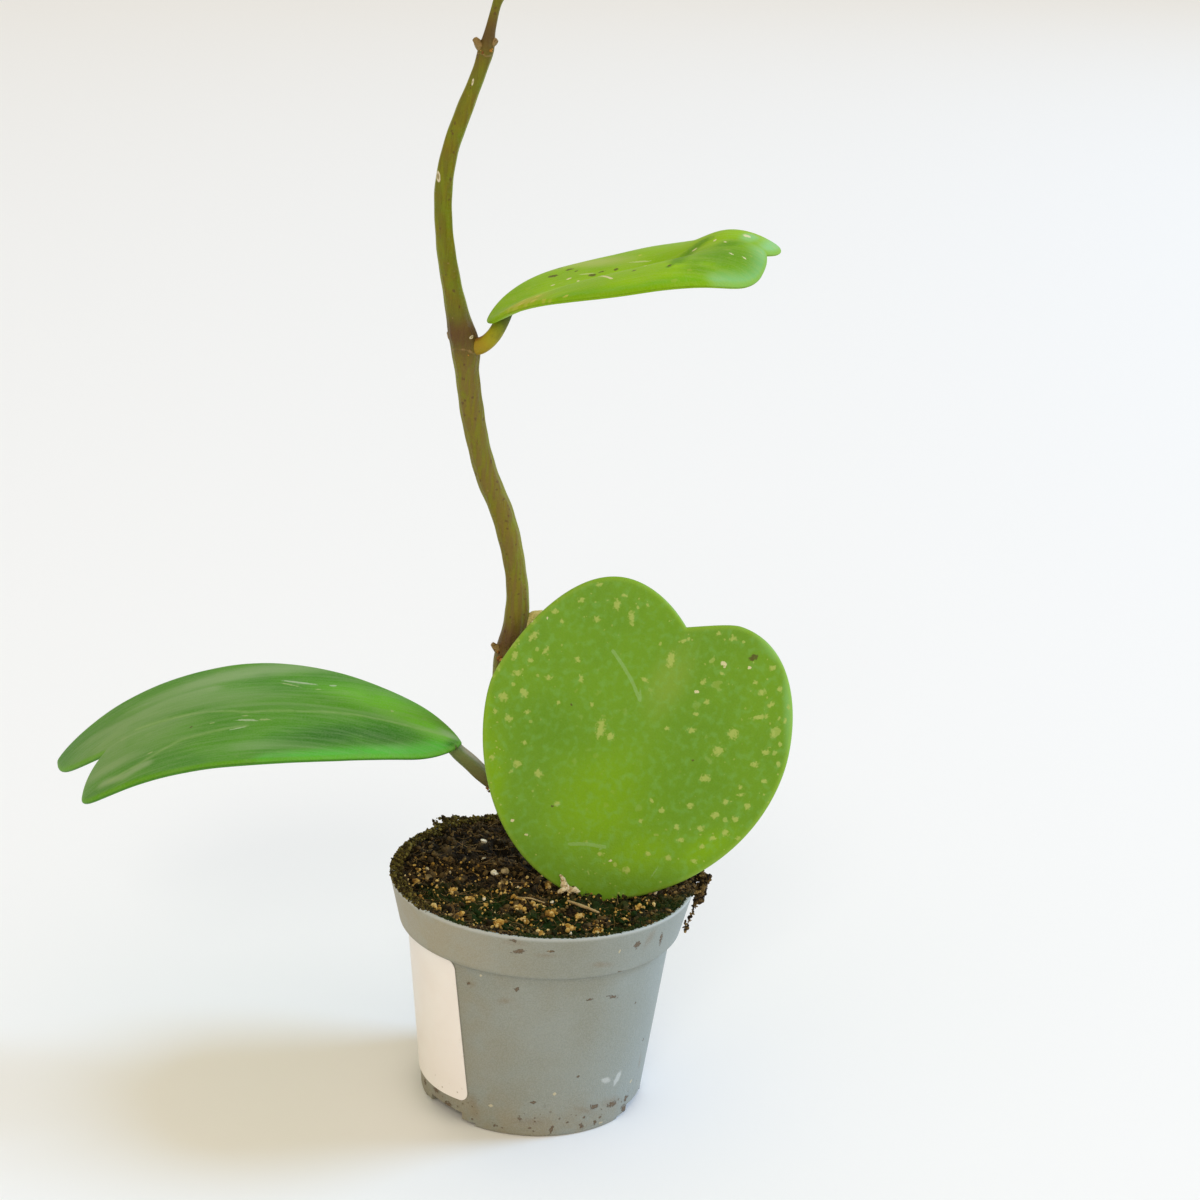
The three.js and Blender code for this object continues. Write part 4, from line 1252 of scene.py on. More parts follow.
def addStem(random):
    line = smoothRoute(stem["route"], stem["steps"])

    def relief(along, angles):
        ridge = 0.018 * np.sin(9 * angles + 0.05 * along) + 0.014 * np.sin(5 * angles - 0.11 * along + 2)
        lump = 0.02 * math.sin(0.31 * along) + 0.015 * math.sin(0.83 * along + 1.2)
        return 1 + ridge + lump

    points, faces, flat = tube(line, stem["sides"], relief)
    flat = np.stack([flat[:, 0], flat[:, 1] * 3], 1)
    cork = np.full(len(points), -1.0)
    fresh = np.zeros(len(points))
    for number, stub in enumerate(stem["stubs"]):
        stubLine = smoothRoute(stub, stem["stubSteps"])

        def dents(along, angles):
            return 1 + 0.08 * np.sin(3 * angles + 2 * along + number)

        ring, quads, _ = tube(stubLine, stem["stubSides"], dents)
        faces += [[index + len(points) for index in face] for face in quads]
        points = np.vstack([points, ring])
        flat = np.vstack([flat, np.full((len(ring), 2), 1e4)])
        green = number == stem["freshStub"]
        cork = np.concatenate([cork, np.full(len(ring), -1.0 if green else 0.35)])
        fresh = np.concatenate([fresh, np.full(len(ring), float(green))])
    height = points[:, 2]
    spread = stem["jointSpread"]
    plum = sum(np.exp(-(((height - joint - 3.5) / spread) ** 2)) for joint in stem["joints"])
    for joint in stem["joints"]:
        ringMark = 0.3 - np.abs(height - joint + 1.0 - 0.5 * noiseAt(points, 2.5, joint)) / 1.6
        cork = np.maximum(cork, ringMark)
    fields = {"plum": np.clip(plum, 0, 1) * 0.75, "cork": cork, "fresh": fresh}
    piece = makePiece("wavyStem", points, faces, fields, ["stem"])
    normals = meshNormals(piece.data)
    seen = seenFrom(points, normals) & (flat[:, 0] < 1e3)
    addField(piece.data, "scar", markField(stem["marks"], flat, toPixels(points), seen))
    piece.data.materials.append(stemMaterial())
    places, radii = [], []
    for x, y, z, size in stem["bits"]:
        for _ in range(stem["bitsEach"]):
            places.append(np.array([x, y, z]) + random.normal(size=3) * size * 0.45)
            radii.append(size * random.uniform(0.25, 0.6))
    chips, chipFaces, tones = crumbMesh(places, radii, 2, random, 0.5)
    bits = makePiece("barkBits", chips, chipFaces.tolist(), {"tone": tones})
    bits.data.materials.append(soilMaterial("barkBit", stem["bitTints"], 0.9, False))
    print("stem:", len(points), "points")


addStem(np.random.default_rng(stem["seed"]))


# The leaves: thick blades with rounded rims, each with its stalk.

# A blade lies along a spine whose bearing, pitch and roll change from the base (0) to the notch (1).
# Each is a polynomial in that fraction, in degrees. An outline runs from the base to the notch through
# its widest point and the crown of its lobe, in millimetres along the spine and across it. Swells raise
# or lower the blade round a point: along, across, rise, and spread both ways.
leaves = {
    "leaf_large": {
        "piece": "largeLeaf",
        "slot": "leaf_green",
        "base": (14.1, -9, 61),
        "length": 80.6,
        "bearing": (43, 0),
        "pitch": (68.6,),
        "roll": (-44.9,),
        "fold": (0,),
        "cup": 0,
        "near": -1,
        "thickness": 2.7,
        "right": [
            (0, 0), (11.1, 27.4), (32.6, 38.5), (51.3, 38.5), (63.0, 38.5), (85.6, 32.2), (85.6, 14.3),
            (85.6, 11.4), (82.6, 4.9), (80.6, 0),
        ],
        "left": [
            (0, 0), (0.5, 33.9), (34.1, 46.3), (49.6, 46.3), (54.6, 46.3), (88.3, 37.9), (88.3, 17.9),
            (88.3, 12.2), (85.6, 5.6), (80.6, 0),
        ],
        "stalk": [(9, -5.5, 40, 2.0), (11.2, -6.6, 51, 2.2), (13.4, -7.4, 60, 1.9)],
        "stalkEnd": (8, 1.1, 1.3),
        "stalkTints": [paint(96, 104, 30), paint(110, 126, 30), paint(112, 140, 30)],
        "stalkTop": paint(120, 136, 50),
        "groove": 0.05,
        "wave": 0.25,
        "green": paint(108, 154, 30),
        "deep": paint(102, 148, 32),
        "warm": paint(120, 166, 2),
        "pale": paint(128, 162, 56),
        "cool": paint(128, 186, 104),
        "dark": paint(88, 136, 24),
        "fleck": paint(182, 194, 104),
        "edge": paint(142, 178, 58),
        "ridge": paint(128, 162, 56),
        "under": paint(118, 146, 48),
        "roughness": 0.42,
        "gloss": 0.15,
        "specks": 1.0,
        "fleckStrength": 0.68,
        "dapple": 0.26,
        "scratch": paint(158, 194, 132),
        "scratchShare": 0.35,
        "shares": {"warm": 1.0, "pale": 0.8, "cool": 0.85, "dark": 0.4},  # how strong each patch shows
        "bands": {"warm": [[6, (476, 700), (478, 745), (486, 790), (500, 820)]]},
        "streaks": 0.06,
        "ribTint": 0.08,
        # soft patches by pixel, length and width in millimetres, and turn
        "warmPatches": [
            (606, 804, 44, 38, 20), (490, 775, 44, 12, 90), (700, 850, 30, 10, 30), (640, 850, 36, 16),
        ],
        "palePatches": [(668, 682, 28, 14, 65)],
        # Painted reflection: the cool patches along the right side.
        "coolPatches": [(791, 705, 56, 5, 92), (774, 650, 18, 5, 130)],
        "darkPatches": [(552, 728, 36, 24), (685, 785, 50, 36, 30)],
        "fleckMarks": [
            (601, 729, 7.2, 3.1, 75), (611, 737, 3.1, 2.7, 80), (670, 659, 6.0, 2.9, 72),
            (732, 734, 3.7, 3.8, 60), (719, 751, 4.1, 3.1, 20), (704, 778, 4.0, 2.6),
            (760, 717, 6.3, 1.6, 8), (763, 692, 2.6, 2.3), (754, 683, 1.8, 1.7),
            (616, 604, 3.8, 2.6, 85), (631, 617, 5.4, 2.2, 88), (597, 619, 2.4, 2.2),
            (581, 679, 3.1, 1.8, 90), (578, 659, 2.4, 2.0, 120), (644, 681, 2.7, 1.8, -20),
            (524, 693, 3.6, 2.7, 120), (504, 696, 3.4, 3.2), (538, 774, 3.5, 2.6, 110),
            (517, 764, 3.1, 2.7), (558, 702, 1.8, 1.7), (592, 705, 1.8, 1.8), (692, 730, 3.0, 2.0),
            (667, 729, 2.1, 1.6), (708, 701, 2.0, 2.1), (703, 681, 2.4, 2.1, 30), (722, 674, 1.7, 1.6),
            (695, 715, 2.5, 1.3), (517, 672, 3.8, 2.0, 5), (534, 635, 4.5, 2.2, 50),
            (514, 656, 3.4, 2.1, 60), (563, 621, 1.6, 1.7), (580, 599, 3.6, 1.6), (624, 596, 2.1, 1.4),
            (600, 584, 2.5, 1.4), (649, 605, 1.5, 1.4), (734, 638, 2.8, 1.8, 10), (719, 635, 2.1, 1.7),
            (684, 640, 2.5, 1.6), (741, 788, 1.6, 1.6), (742, 795, 2.8, 1.3), (726, 803, 2.2, 2.1),
            (725, 833, 2.6, 2.3, 30), (680, 840, 2.5, 1.8), (702, 847, 2.1, 1.6, 30),
            (648, 853, 2.0, 1.8), (627, 870, 2.8, 2.3), (601, 853, 2.2, 1.7), (557, 804, 2.2, 2.0),
            (652, 801, 1.8, 1.6), (662, 811, 2.2, 2.1), (641, 822, 2.0, 1.3, 20), (764, 782, 2.2, 1.7),
            (523, 743, 1.6, 1.7), (493, 757, 2.0, 2.1), (779, 744, 1.8, 1.6, 90),
            (784, 722, 2.0, 1.3, 90), (506, 640, 2.7, 2.2), (522, 612, 2.9, 2.1, 30),
            (545, 650, 3.1, 2.0, 60), (498, 668, 2.2, 2.0), (530, 660, 2.2, 1.7), (548, 678, 2.7, 1.8),
            (556, 612, 2.9, 2.0), (510, 718, 2.9, 2.5), (495, 712, 2.0, 1.8), (528, 712, 2.0, 1.8),
            (772, 668, 2.5, 2.0), (780, 690, 2.7, 1.7, 80), (770, 705, 2.9, 1.7, 30),
            (788, 708, 2.2, 1.3, 90), (774, 735, 3.1, 2.0, 60), (766, 752, 2.9, 2.2),
            (778, 765, 2.2, 1.6, 80), (756, 765, 2.7, 2.0), (748, 806, 2.9, 2.0, 50),
            (735, 818, 2.5, 2.2), (715, 815, 3.4, 2.2, 20), (700, 828, 2.9, 2.1), (690, 806, 2.5, 2.0),
            (712, 838, 2.5, 1.7), (738, 838, 2.2, 1.4), (694, 862, 2.5, 1.7), (668, 858, 2.7, 2.0),
            (676, 826, 2.2, 2.0),
        ],
        "scratchMarks": [
            (641, 694, 4.2, 0.4, -80), (655, 872, 5.0, 0.5, 60), (602, 848, 2.0, 0.5, 40),
            (558, 805, 2.0, 0.8),
        ],
        "scratchLines": [
            [1.1, (613, 650), (622, 664), (632, 682), (640, 700)],
            [1.1, (570, 844), (588, 843), (605, 847)],
        ],
        "scarMarks": [
            (754, 657, 2.9, 2.0, 20), (573, 705, 0.8, 0.7), (693, 760, 1.0, 0.7), (552, 806, 0.9, 0.8),
        ],
        "creamMarks": [
            (724, 664, 2.6, 1.5, -40), (697, 691, 1.5, 1.1), (611, 861, 1.3, 0.8), (530, 618, 1.0, 0.8),
            (546, 618, 0.8, 0.7), (512, 820, 1.3, 1.1), (527, 835, 1.1, 0.9), (749, 668, 1.2, 1.0),
        ],
    },
    "leaf_left": {
        "piece": "leftLeaf",
        "slot": "leaf_dusty_green",
        "base": (-24.5, 7.7, 99.3),
        "length": 102,
        "bearing": (179, 9.7),
        "pitch": (17.9, -24.9, -28.6),
        "roll": (-5, 5.9, -1),
        "fold": (-0.05,),
        "cup": 0.065,
        "near": 1,
        "thickness": 2.7,
        "right": [
            (0, 0), (1.5, 10), (29.7, 37.5), (60.3, 37.5), (87.3, 37.5), (109, 31.4), (109, 22.2),
            (109, 12.2), (106.2, 5.5), (102, 0),
        ],
        "left": [
            (0, 0), (5.1, 10), (37.1, 33), (67.7, 33), (96.7, 33), (120.5, 30.2), (120.5, 25.9),
            (120.5, 14.3), (113.1, 6.5), (102, 0),
        ],
        "swells": [(12, 12, -1.1, 20, 9), (14, -11, 0.8, 20, 9), (64, 32, -1.2, 30, 13)],
        "stalk": [
            (-11.4, 10.4, 86.0, 2.3), (-15.2, 9.7, 87.8, 2.3), (-18.6, 9.3, 90.4, 2.3),
            (-21.6, 8.9, 93.3, 2.3), (-24.8, 8.5, 96.0, 2.2), (-27.6, 8.3, 98.4, 2.0),
        ],
        "stalkEnd": (10, 1.4, 1.4),
        "stalkTints": [paint(96, 82, 46), paint(116, 112, 66), paint(112, 126, 68), paint(84, 116, 44)],
        "stalkTop": paint(190, 170, 150),
        "groove": 0.35,
        "wave": 0.35,
        "green": paint(78, 142, 26),
        "deep": paint(64, 130, 24),
        "warm": paint(104, 178, 34),
        "vivid": paint(80, 178, 52),
        "pale": paint(140, 168, 116),
        "cool": paint(112, 154, 84),
        "dark": paint(36, 100, 10),
        "fleck": paint(172, 186, 128),
        "edge": paint(100, 158, 30),
        "ridge": paint(142, 174, 104),
        "under": paint(64, 126, 26),
        "roughness": 0.42,
        "gloss": 0.04,
        "specks": 0.15,
        "fleckStrength": 0.6,
        "dapple": 0.1,
        "scratch": paint(184, 200, 166),
        "scratchShare": 0.6,
        "shares": {"warm": 0.9, "pale": 0.75, "cool": 0.9, "dark": 1.0, "vivid": 0.9},
        "bands": {
            # Painted sheen: the pale bands at the top left.
            "pale": [
                [6, (104, 784), (124, 776), (146, 764)],
                [9, (104, 745), (130, 722), (170, 702), (210, 690)],
            ],
            "vivid": [[11, (270, 762), (310, 759), (350, 757), (395, 753), (440, 750)]],
        },
        "streaks": 0.2,
        "ribTint": 0.25,
        "warmPatches": [(385, 703, 52, 18, -25), (425, 728, 34, 12, -30)],
        # Painted sheen: the first three pale patches, at the top left.
        "palePatches": [
            (230, 676, 76, 13, 10), (110, 768, 26, 10, 30), (130, 722, 44, 9, 20),
            (451, 736, 11, 4, -35),
        ],
        # Painted sheen: the cool patches, mostly at the top left.
        "coolPatches": [
            (120, 742, 60, 42, 20), (200, 700, 60, 20, 10), (265, 745, 40, 8), (400, 747, 12, 7, 5),
        ],
        "darkPatches": [(354, 735, 56, 18), (300, 760, 100, 5), (452, 749, 15, 7, -25)],
        # The first ridge line is the pale midrib; the second is a painted highlight along a bend of the
        # lower half.
        "ridgeLines": [
            [3.0, (448, 736), (405, 724), (353, 715), (302, 711),
             (250, 712), (208, 712), (180, 717), (138, 729)],
            [3.2, (246, 726), (208, 733), (180, 741), (138, 765), (110, 782)],
        ],
        "fleckMarks": [
            (265, 720, 5.0, 1.4), (290, 685, 7.5, 1.1, -10), (246, 715, 3.0, 1.0), (318, 689, 2.0, 1.1),
            (392, 711, 2.2, 1.3, 20), (150, 752, 2.6, 1.3, 20), (212, 722, 2.0, 1.1),
        ],
        "scratchMarks": [
            (299, 682, 12, 1.4, -10), (333, 686, 2.2, 1.3), (247, 720, 7.5, 1.4, -5),
            (238, 728, 6, 0.8, 12),
        ],
        "scarMarks": [(190, 727, 1.0, 1.3), (458, 752, 1.0, 1.4)],
    },
    "leaf_right": {
        "piece": "rightLeaf",
        "slot": "leaf_bright_green",
        "base": (-23, 7.9, 218.3),
        "length": 76.8,
        "bearing": (4.3, -12.1),
        "pitch": (36.9, -131, 332, -260),
        "roll": (-2, 22.1, -24.1),
        "fold": (0.35, 0, -0.29),
        "cup": -0.27,
        "near": -1,
        "thickness": 2.5,
        "right": [
            (0, 0), (0.4, 8.6), (18.9, 39.6), (41.9, 39.6), (61.9, 39.6), (78.3, 30), (78.3, 15.6),
            (78.3, 8.6), (77.7, 3.9), (76.8, 0),
        ],
        "left": [
            (0, 0), (0.4, 8.0), (26.4, 36.6), (49.4, 36.6), (66.1, 36.6), (79.8, 27.6), (79.8, 14.1),
            (79.8, 7.8), (78.6, 3.5), (76.8, 0),
        ],
        "swells": [(46, 4, -4, 12, 10), (57, -20, -1.4, 11, 15), (66, -9, 2.2, 8.5, 12)],
        "stalk": [
            (-28.7, 11.4, 211.1, 2.2), (-25.2, 10.4, 211.2, 2.3), (-22.9, 9.8, 212.5, 2.1),
            (-21.1, 9.3, 214.6, 2.0), (-19.7, 9.0, 217.2, 1.9),
        ],
        "stalkEnd": (6, 0.6, 1.3),
        "stalkTints": [
            paint(124, 78, 40), paint(156, 132, 24), paint(160, 154, 22), paint(120, 132, 16),
            paint(58, 90, 8),
        ],
        "stalkTop": paint(136, 84, 40),
        "groove": 0.2,
        "wave": 0.2,
        "green": paint(140, 186, 10),
        "deep": paint(126, 174, 16),
        "warm": paint(150, 198, 0),
        "pale": paint(168, 188, 94),
        "vivid": paint(106, 168, 0),
        "tan": paint(180, 172, 48),
        "tanPatches": [(515, 310, 26, 16, 35)],
        "cool": paint(136, 198, 134),
        "dark": paint(76, 134, 0),
        "fleck": paint(208, 196, 96),
        "edge": paint(128, 170, 14),
        "ridge": paint(196, 206, 128),
        "under": paint(136, 174, 20),
        "roughness": 0.4,
        "gloss": 0.015,
        "specks": 0.3,
        "fleckStrength": 0.75,
        "dapple": 0.06,
        "scratch": paint(200, 210, 150),
        "scratchShare": 0.6,
        "shares": {"warm": 1.0, "pale": 0.9, "cool": 0.8, "dark": 0.75, "vivid": 0.9, "tan": 0.85},
        "bands": {
            "vivid": [[9, (563, 306), (600, 302), (640, 298), (700, 292)]],
            # Painted highlight: cool, pale bands along the far edge near the tip.
            "cool": [
                [12, (722, 291), (746, 291), (757, 283), (764, 267), (766, 256)],
                [7, (768, 250), (774, 245), (778, 241)],
            ],
        },
        "streaks": 0.15,
        "ribTint": 0.1,
        "warmPatches": [(625, 291, 64, 8), (545, 292, 34, 12, 20), (690, 264, 16, 8)],
        "palePatches": [(598, 262, 34, 12, 5)],
        # Painted highlight: a cool patch on the far edge.
        "coolPatches": [(750, 236, 14, 5)],
        # Darker green past the crease: partly the leaf's own tone, partly painted shade on the side of the
        # bulge.
        "darkPatches": [(728, 257, 36, 28, 20), (703, 263, 18, 14, 40), (728, 244, 14, 8, 10)],
        # Painted shade in the crease before the dome.
        "creaseShadeLines": [[7.5, (677, 262), (688, 254), (703, 241)], [2.5, (668, 267), (677, 262)]],
        "fleckMarks": [
            (509, 313, 2.0, 3.1, 40), (519, 305, 2.2, 3.1, 40), (526, 305, 1.8, 2.6),
            (533, 301, 2.2, 2.6), (544, 301, 2.2, 2.1, 20), (550, 301, 1.6, 2.1), (577, 264, 1.4, 1.3),
            (640, 255, 1.6, 1.3), (515, 309, 3.0, 4.2, 40), (524, 300, 3.0, 3.1, 30),
            (538, 296, 2.6, 2.6, 20), (565, 296, 2.0, 2.1),
        ],
        "scratchMarks": [(587, 274, 6.0, 1.0, 3), (640, 262, 8.0, 1.0, 3)],
        "scarMarks": [
            (553, 276, 3.2, 2.3, 5), (570, 269, 2.6, 1.8, 5), (576, 271, 0.9, 1.6),
            (592, 275, 2.0, 2.9, 20), (602, 272, 1.1, 2.1), (616, 269, 1.2, 2.1), (634, 271, 1.3, 1.8),
            (669, 266, 1.1, 2.3), (560, 268, 2.0, 1.3, 5),
        ],
        "creamLines": [[0.9, (578, 281), (612, 279)]],
        "creamMarks": [
            (569, 279, 1.4, 1.8), (625, 271, 0.9, 1.6), (645, 266, 0.9, 1.6), (552, 285, 0.9, 1.6),
            (695, 250, 1.0, 1.8), (715, 240, 0.9, 1.6), (725, 242, 0.9, 1.6), (732, 254, 0.9, 1.8),
            (744, 258, 0.9, 1.8), (747, 235, 2.6, 2.1),
        ],
    },
}
blade = {
    "troughRound": 6,
    "cupSpan": 40,
    "spineSteps": 240,
    "spineReach": 1.3,
    "rimPoints": 170,  # on each of the three stretches of both sides
    "edgeRings": (0, 0.03, 0.12, 0.28, 0.5, 0.8, 1.2, 1.7, 2.3, 3.0),
    "innerRings": 52,
    "edgeRound": 1.15,  # how far in the rim's rounding reaches
    "edgeThin": 0.6,  # share of the thickness left beside the rounding
    "edgeFade": 9,
    "stalkSteps": 80,
    "stalkSides": 32,
    "cream": paint(226, 216, 176),
    "scar": paint(80, 66, 34),
}


def polynomial(terms, t):
    return sum(term * t**power for power, term in enumerate(terms))


# Places points of the flat blade (u along the spine, v across it, height off the middle) in space.
def placeOnBlade(leaf, u, v, height):
    u, v, height = (np.asarray(value, float) for value in (u, v, height))
    reach = blade["spineReach"] * leaf["length"]
    steps = blade["spineSteps"]

    def angle(key, t):
        return np.radians(polynomial(leaf[key], t) + 0 * t)

    def direction(t):
        pitch, bearing = angle("pitch", t), angle("bearing", t)
        level = np.cos(pitch)
        return np.stack([level * np.cos(bearing), level * np.sin(bearing), np.sin(pitch)], -1)

    middles = (np.arange(steps) + 0.5) * reach / steps / leaf["length"]
    hops = direction(middles) * reach / steps
    spine = np.vstack([leaf["base"], np.array(leaf["base"]) + np.cumsum(hops, 0)])
    t = u / leaf["length"]
    at = np.clip(u / reach * steps, 0, steps - 1e-6)
    first = at.astype(int)
    share = (at - first)[:, None]
    forward = direction(t)
    point = spine[first] * (1 - share) + spine[first + 1] * share + forward * np.minimum(u, 0)[:, None]
    bearing = angle("bearing", t)
    level = np.stack([-np.sin(bearing), np.cos(bearing), 0 * bearing], -1) * leaf["near"]
    up = np.cross(forward, level)
    up *= np.sign(up[:, 2:3])
    roll = angle("roll", t)[:, None]
    across = level * np.cos(roll) + up * np.sin(roll)
    normal = up * np.cos(roll) - level * np.sin(roll)
    fold = polynomial(leaf["fold"], t) + 0 * t
    trough = fold * (np.hypot(v, blade["troughRound"]) - blade["troughRound"])
    lift = trough + leaf["cup"] * v * v / blade["cupSpan"]
    for atU, atV, rise, spreadU, spreadV in leaf.get("swells", []):
        lift = lift + rise * np.exp(-(((u - atU) / spreadU) ** 2) - ((v - atV) / spreadV) ** 2)
    return point + across * (v / np.hypot(1, fold))[:, None] + normal * (lift + height)[:, None]


def bezier(a, b, c, d, count):
    s = np.linspace(0, 1, count + 1)[:, None]
    a, b, c, d = (np.array(p, float) for p in (a, b, c, d))
    return (1 - s) ** 3 * a + 3 * s * (1 - s) ** 2 * b + 3 * s * s * (1 - s) * c + s**3 * d


def outlineOf(points):
    runs = [bezier(*points[i : i + 4], blade["rimPoints"]) for i in (0, 3, 6)]
    line = np.vstack([runs[0], runs[1][1:], runs[2][1:]])
    gaps = np.concatenate([[0], np.cumsum(np.hypot(*np.diff(line, axis=0).T))])
    even = np.linspace(0, gaps[-1], 3 * blade["rimPoints"] // 2 + 1)
    return np.stack([np.interp(even, gaps, line[:, 0]), np.interp(even, gaps, line[:, 1])], 1)


# The blade's rings of flat points from the rim inwards, and how far each lies from the rim.
def bladeRings(leaf):
    right = outlineOf(leaf["right"])
    left = outlineOf(leaf["left"]) * (1, -1)
    rim = np.vstack([right, left[1:-1][::-1]])
    centre = np.array([0.5 * leaf["length"], 0])
    spokes = centre - rim
    lengths = np.hypot(*spokes.T)
    inwards = spokes / lengths[:, None]
    along = np.roll(rim, -1, 0) - np.roll(rim, 1, 0)
    along /= np.hypot(*along.T)[:, None]
    facing = np.abs(along[:, 0] * inwards[:, 1] - along[:, 1] * inwards[:, 0])
    facing = np.maximum(facing, 0.4)
    rings = [rim + inwards * (depth / facing)[:, None] for depth in blade["edgeRings"]]
    last = rings[-1]
    for share in np.linspace(0, 1, blade["innerRings"] + 1)[1:-1]:
        rings.append(last + (centre - last) * share)
    flat = np.vstack([*rings, centre])
    tree = kdtree.KDTree(len(rim) * 4)
    for i in range(len(rim)):
        for k in range(4):
            spot = rim[i] + (rim[(i + 1) % len(rim)] - rim[i]) * k / 4
            tree.insert((*spot, 0), 4 * i + k)
    tree.balance()
    depth = np.array([tree.find((*spot, 0))[2] for spot in flat.tolist()])
    depth[: len(rim)] = 0
    return flat, depth, len(rim), len(rings)


def leafShape(leaf, number):
    flat, depth, around, rings = bladeRings(leaf)
    u, v = flat.T
    full = 0.5 * leaf["thickness"]
    bite = np.clip(depth / blade["edgeRound"], 0, 1)
    fade = np.clip(depth / blade["edgeFade"], 0, 1)
    body = blade["edgeThin"] + (1 - blade["edgeThin"]) * (1 - (1 - fade) ** 2)
    half = full * np.sqrt(1 - (1 - bite) ** 2) * body
    where = np.stack([u, v, np.full(len(u), 30.0 * number)], 1)
    ripple = 0.7 * noiseAt(where, 26, 1) + 0.3 * noiseAt(where, 9, 2)
    wave = leaf["wave"] * ripple * easeStep(0, 20, depth + 8)
    inside = easeStep(1, 8, depth)
    rib = np.exp(-((v / 2.0) ** 2)) * inside * easeStep(1.02, 0.7, u / leaf["length"])
    tops = placeOnBlade(leaf, u, v, wave + half - leaf["groove"] * rib)
    bottoms = placeOnBlade(leaf, u, v, wave - half - 0.5 * leaf["groove"] * rib)
    count = len(flat) - around
    points = np.vstack([tops, bottoms[around:]])
    top = gridFaces(rings, around, True)
    last = (rings - 1) * around
    fan = [[last + k, last + (k + 1) % around, len(flat) - 1] for k in range(around)]
    topFaces = top.tolist() + fan
    bottomFaces = [[i if i < around else i + count for i in face[::-1]] for face in topFaces]
    if leaf["near"] > 0:
        topFaces = [face[::-1] for face in topFaces]
        bottomFaces = [face[::-1] for face in bottomFaces]
    flatAll = np.vstack([flat, flat[around:]])
    depthAll = np.concatenate([depth, depth[around:]])
    side = np.concatenate([np.ones(len(flat)), np.zeros(count)])
    side[:around] = 0.5
    return points, topFaces + bottomFaces, flatAll, depthAll, side


def leafMaterial(name, leaf):
    material, tree, shader, _ = newMaterial(name, leaf["roughness"], leaf["gloss"])
    place = fieldOf(tree, "flat", "Vector")
    depth = fieldOf(tree, "depth")
    cloud = cloudMask(tree, place, 60.0, 0.35, 0.7, 4.0)
    colour = mixColour(tree, cloud, leaf["green"], leaf["deep"])
    uneven = cloudMask(tree, place, 90.0, 0.0, 0.5)
    for key, share in leaf["shares"].items():
        soft = ramp(tree, fieldOf(tree, key), -0.15, 0.85, 0.0, share)
        colour = layTint(tree, colour, soft, uneven, leaf[key])
    dapple = cloudMask(tree, place, 450.0, 0.45, 0.7, 4.0)
    colour = layTint(tree, colour, dapple, leaf["dapple"], leaf["cool"])
    lengthways = addNode(tree, "VectorMath", {0: place, 1: (0.1, 1, 1)}, operation="MULTIPLY").outputs[0]
    streak = cloudMask(tree, lengthways, 700.0, 0.38, 0.7)
    colour = layTint(tree, colour, streak, leaf["streaks"], leaf["pale"])
    rib = ramp(tree, fieldOf(tree, "rib"), 1.5, 0.1)
    colour = layTint(tree, colour, rib, leaf["ribTint"], leaf["pale"])
    ridge = markMask(tree, place, "ridge", 500.0, rim=1.3)
    colour = layTint(tree, colour, ridge, 0.6, leaf["ridge"])
    # Painted shade: the crease is darkened with the dark green.
    creaseShade = markMask(tree, place, "creaseShade", 900.0, rim=0.9)
    colour = layTint(tree, colour, creaseShade, 0.75, leaf["dark"])
    near = ramp(tree, depth, 26.0, 3.0, 0.2, 1.0)
    small = speckMask(tree, place, 260.0, 0.32, 0.2, 0.5)
    tiny = speckMask(tree, place, 620.0, 0.3, 0.22, 0.4)
    wide = speckMask(tree, place, 150.0, 0.4, 0.2, 0.8)
    small = plus(tree, times(tree, small, 0.6), times(tree, tiny, 0.5), True)
    small = most(tree, small, times(tree, wide, 0.5))
    small = times(tree, times(tree, small, near), leaf["specks"])
    fleck = markMask(tree, place, "fleck", 1300.0, 1.9, 0.6)
    both = most(tree, small, times(tree, fleck, leaf["fleckStrength"]))
    colour = mixColour(tree, both, colour, leaf["fleck"])
    edge = ramp(tree, depth, 1.7, 0.2)
    colour = layTint(tree, colour, edge, 0.6, leaf["edge"])
    under = mathNode(tree, "LESS_THAN", fieldOf(tree, "side"), 0.4)
    colour = layTint(tree, colour, under, 0.75, leaf["under"])
    scratch = markMask(tree, place, "scratch", 1300.0, 0.9)
    colour = layTint(tree, colour, scratch, leaf["scratchShare"], leaf["scratch"])
    colour = layTint(tree, colour, markMask(tree, place, "cream", 1300.0, 1.4), 0.85, blade["cream"])
    colour = layTint(tree, colour, markMask(tree, place, "scar", 1300.0, 1.7), 0.85, blade["scar"])
    fine = grainNode(tree, place, 1900.0, 0.7)
    colour = layTint(tree, colour, fine.outputs["Mask"], 0.14, leaf["pale"])
    lift = plus(tree, fine.outputs["Height"], times(tree, both, 0.6))
    lift = plus(tree, lift, times(tree, streak, leaf["streaks"] * 2))
    finishMaterial(tree, shader, colour, lift, 0.00010)
    return material


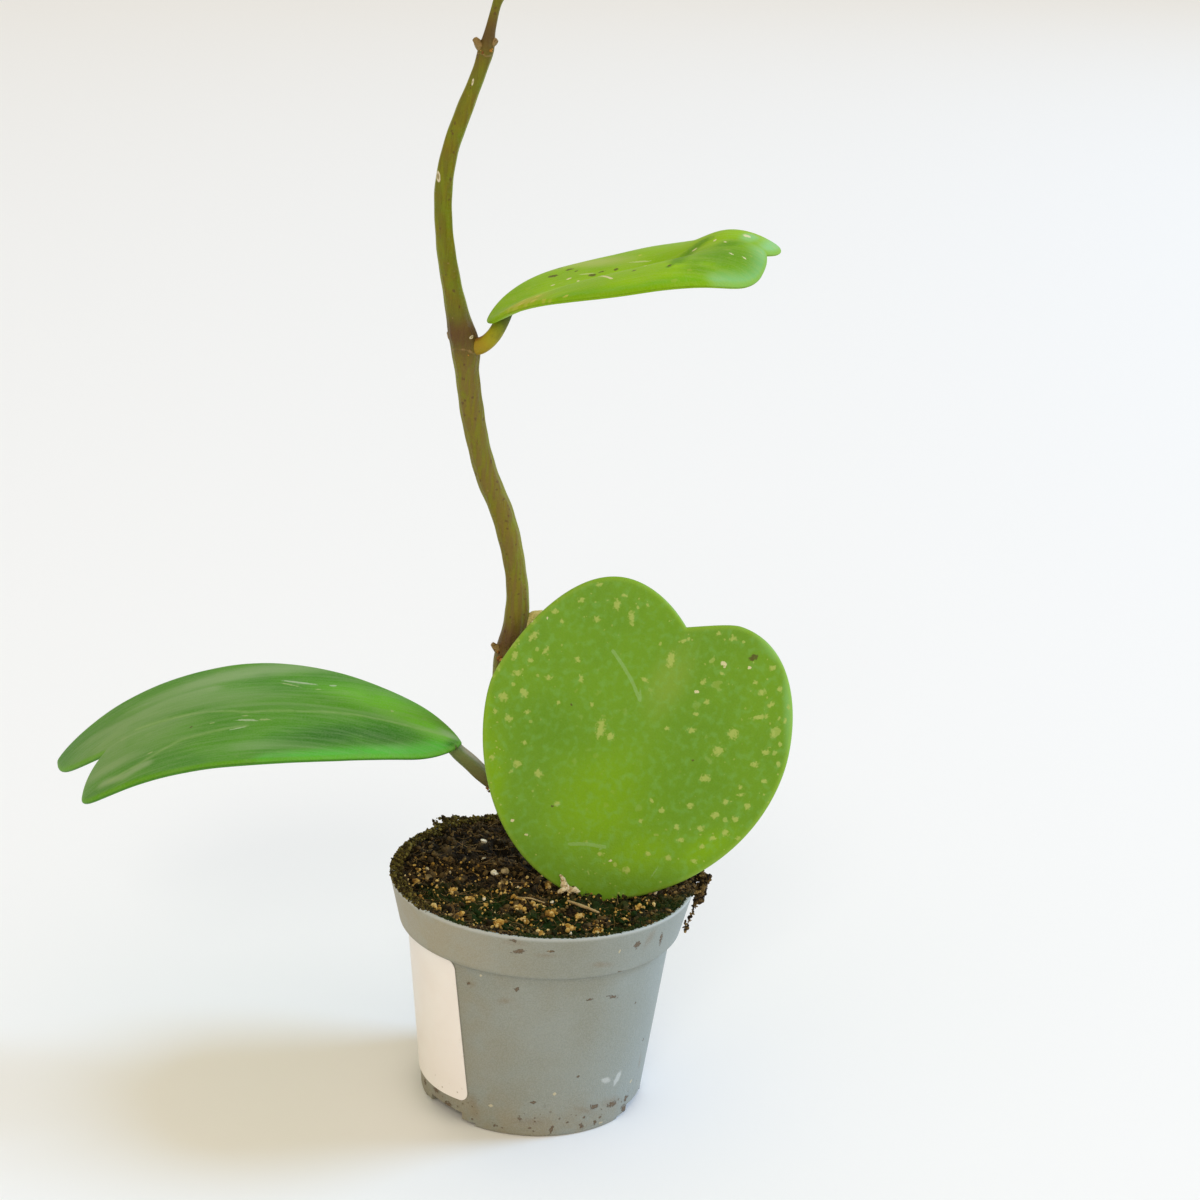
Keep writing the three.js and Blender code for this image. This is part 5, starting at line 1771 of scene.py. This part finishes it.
def stalkMaterial(name, tints, top):
    material, tree, shader, place = newMaterial(name, 0.5, 0.2)
    cloud = cloudMask(tree, place, 300.0, 0.3, 0.7)
    along = plus(tree, fieldOf(tree, "along"), ramp(tree, cloud, 0.0, 1.0, -0.06, 0.06), True)
    colour = palette(tree, along, tints)
    upper = times(tree, ramp(tree, fieldOf(tree, "upward"), 0.5, 0.85), ramp(tree, along, 0.95, 0.7))
    colour = layTint(tree, colour, upper, 0.8, top)
    colour = layTint(tree, colour, cloud, 0.2, tints[0])
    fine = grainNode(tree, place, 1700.0, 0.8)
    finishMaterial(tree, shader, colour, fine.outputs["Height"], 0.00018)
    return material


def addStalk(leaf):
    u, depth, radius = leaf["stalkEnd"]
    end = placeOnBlade(leaf, [u], [0], [-depth])[0]
    line = smoothRoute([*leaf["stalk"], (*end, radius)], blade["stalkSteps"])

    def ridges(along, angles):
        return 1 + 0.03 * np.sin(3 * angles + 0.3 * along)

    points, faces, flat = tube(line, blade["stalkSides"], ridges)
    name = leaf["piece"] + "Stalk"
    stalk = makePiece(name, points, faces, {"along": flat[:, 0] / flat[:, 0].max()})
    addField(stalk.data, "upward", meshNormals(stalk.data)[:, 2])
    stalk.data.materials.append(stalkMaterial(name + "Skin", leaf["stalkTints"], leaf["stalkTop"]))


def addLeaf(node, leaf, number):
    points, faces, flat, depth, side = leafShape(leaf, number)
    fields = {"depth": depth, "side": side, "rib": np.abs(flat[:, 1])}
    fields["flat"] = np.hstack([flat, (side * 20 + number * 200)[:, None]]) * metres
    piece = makePiece(leaf["piece"], points, faces, fields, [node])
    seen = seenFrom(points, meshNormals(piece.data)) & (side > 0.4)
    pixels = toPixels(points)
    for key in leaf["shares"]:
        field = markField(leaf.get(key + "Patches", []), flat, pixels, seen)
        bands = strokeField(leaf["bands"].get(key, []), flat, pixels, seen)
        addField(piece.data, key, np.maximum(field, bands))
    for key in ("fleck", "scratch", "scar", "cream", "ridge", "creaseShade"):
        field = markField(leaf.get(key + "Marks", []), flat, pixels, seen)
        field = np.maximum(field, strokeField(leaf.get(key + "Lines", []), flat, pixels, seen))
        addField(piece.data, key, np.where(side > 0.4, field, -1))
    piece.data.materials.append(leafMaterial(leaf["piece"] + "Skin", leaf))
    addStalk(leaf)
    print(node, len(piece.data.vertices), "points")


for number, (node, leaf) in enumerate(leaves.items()):
    addLeaf(node, leaf, number)
print("leaves are on")
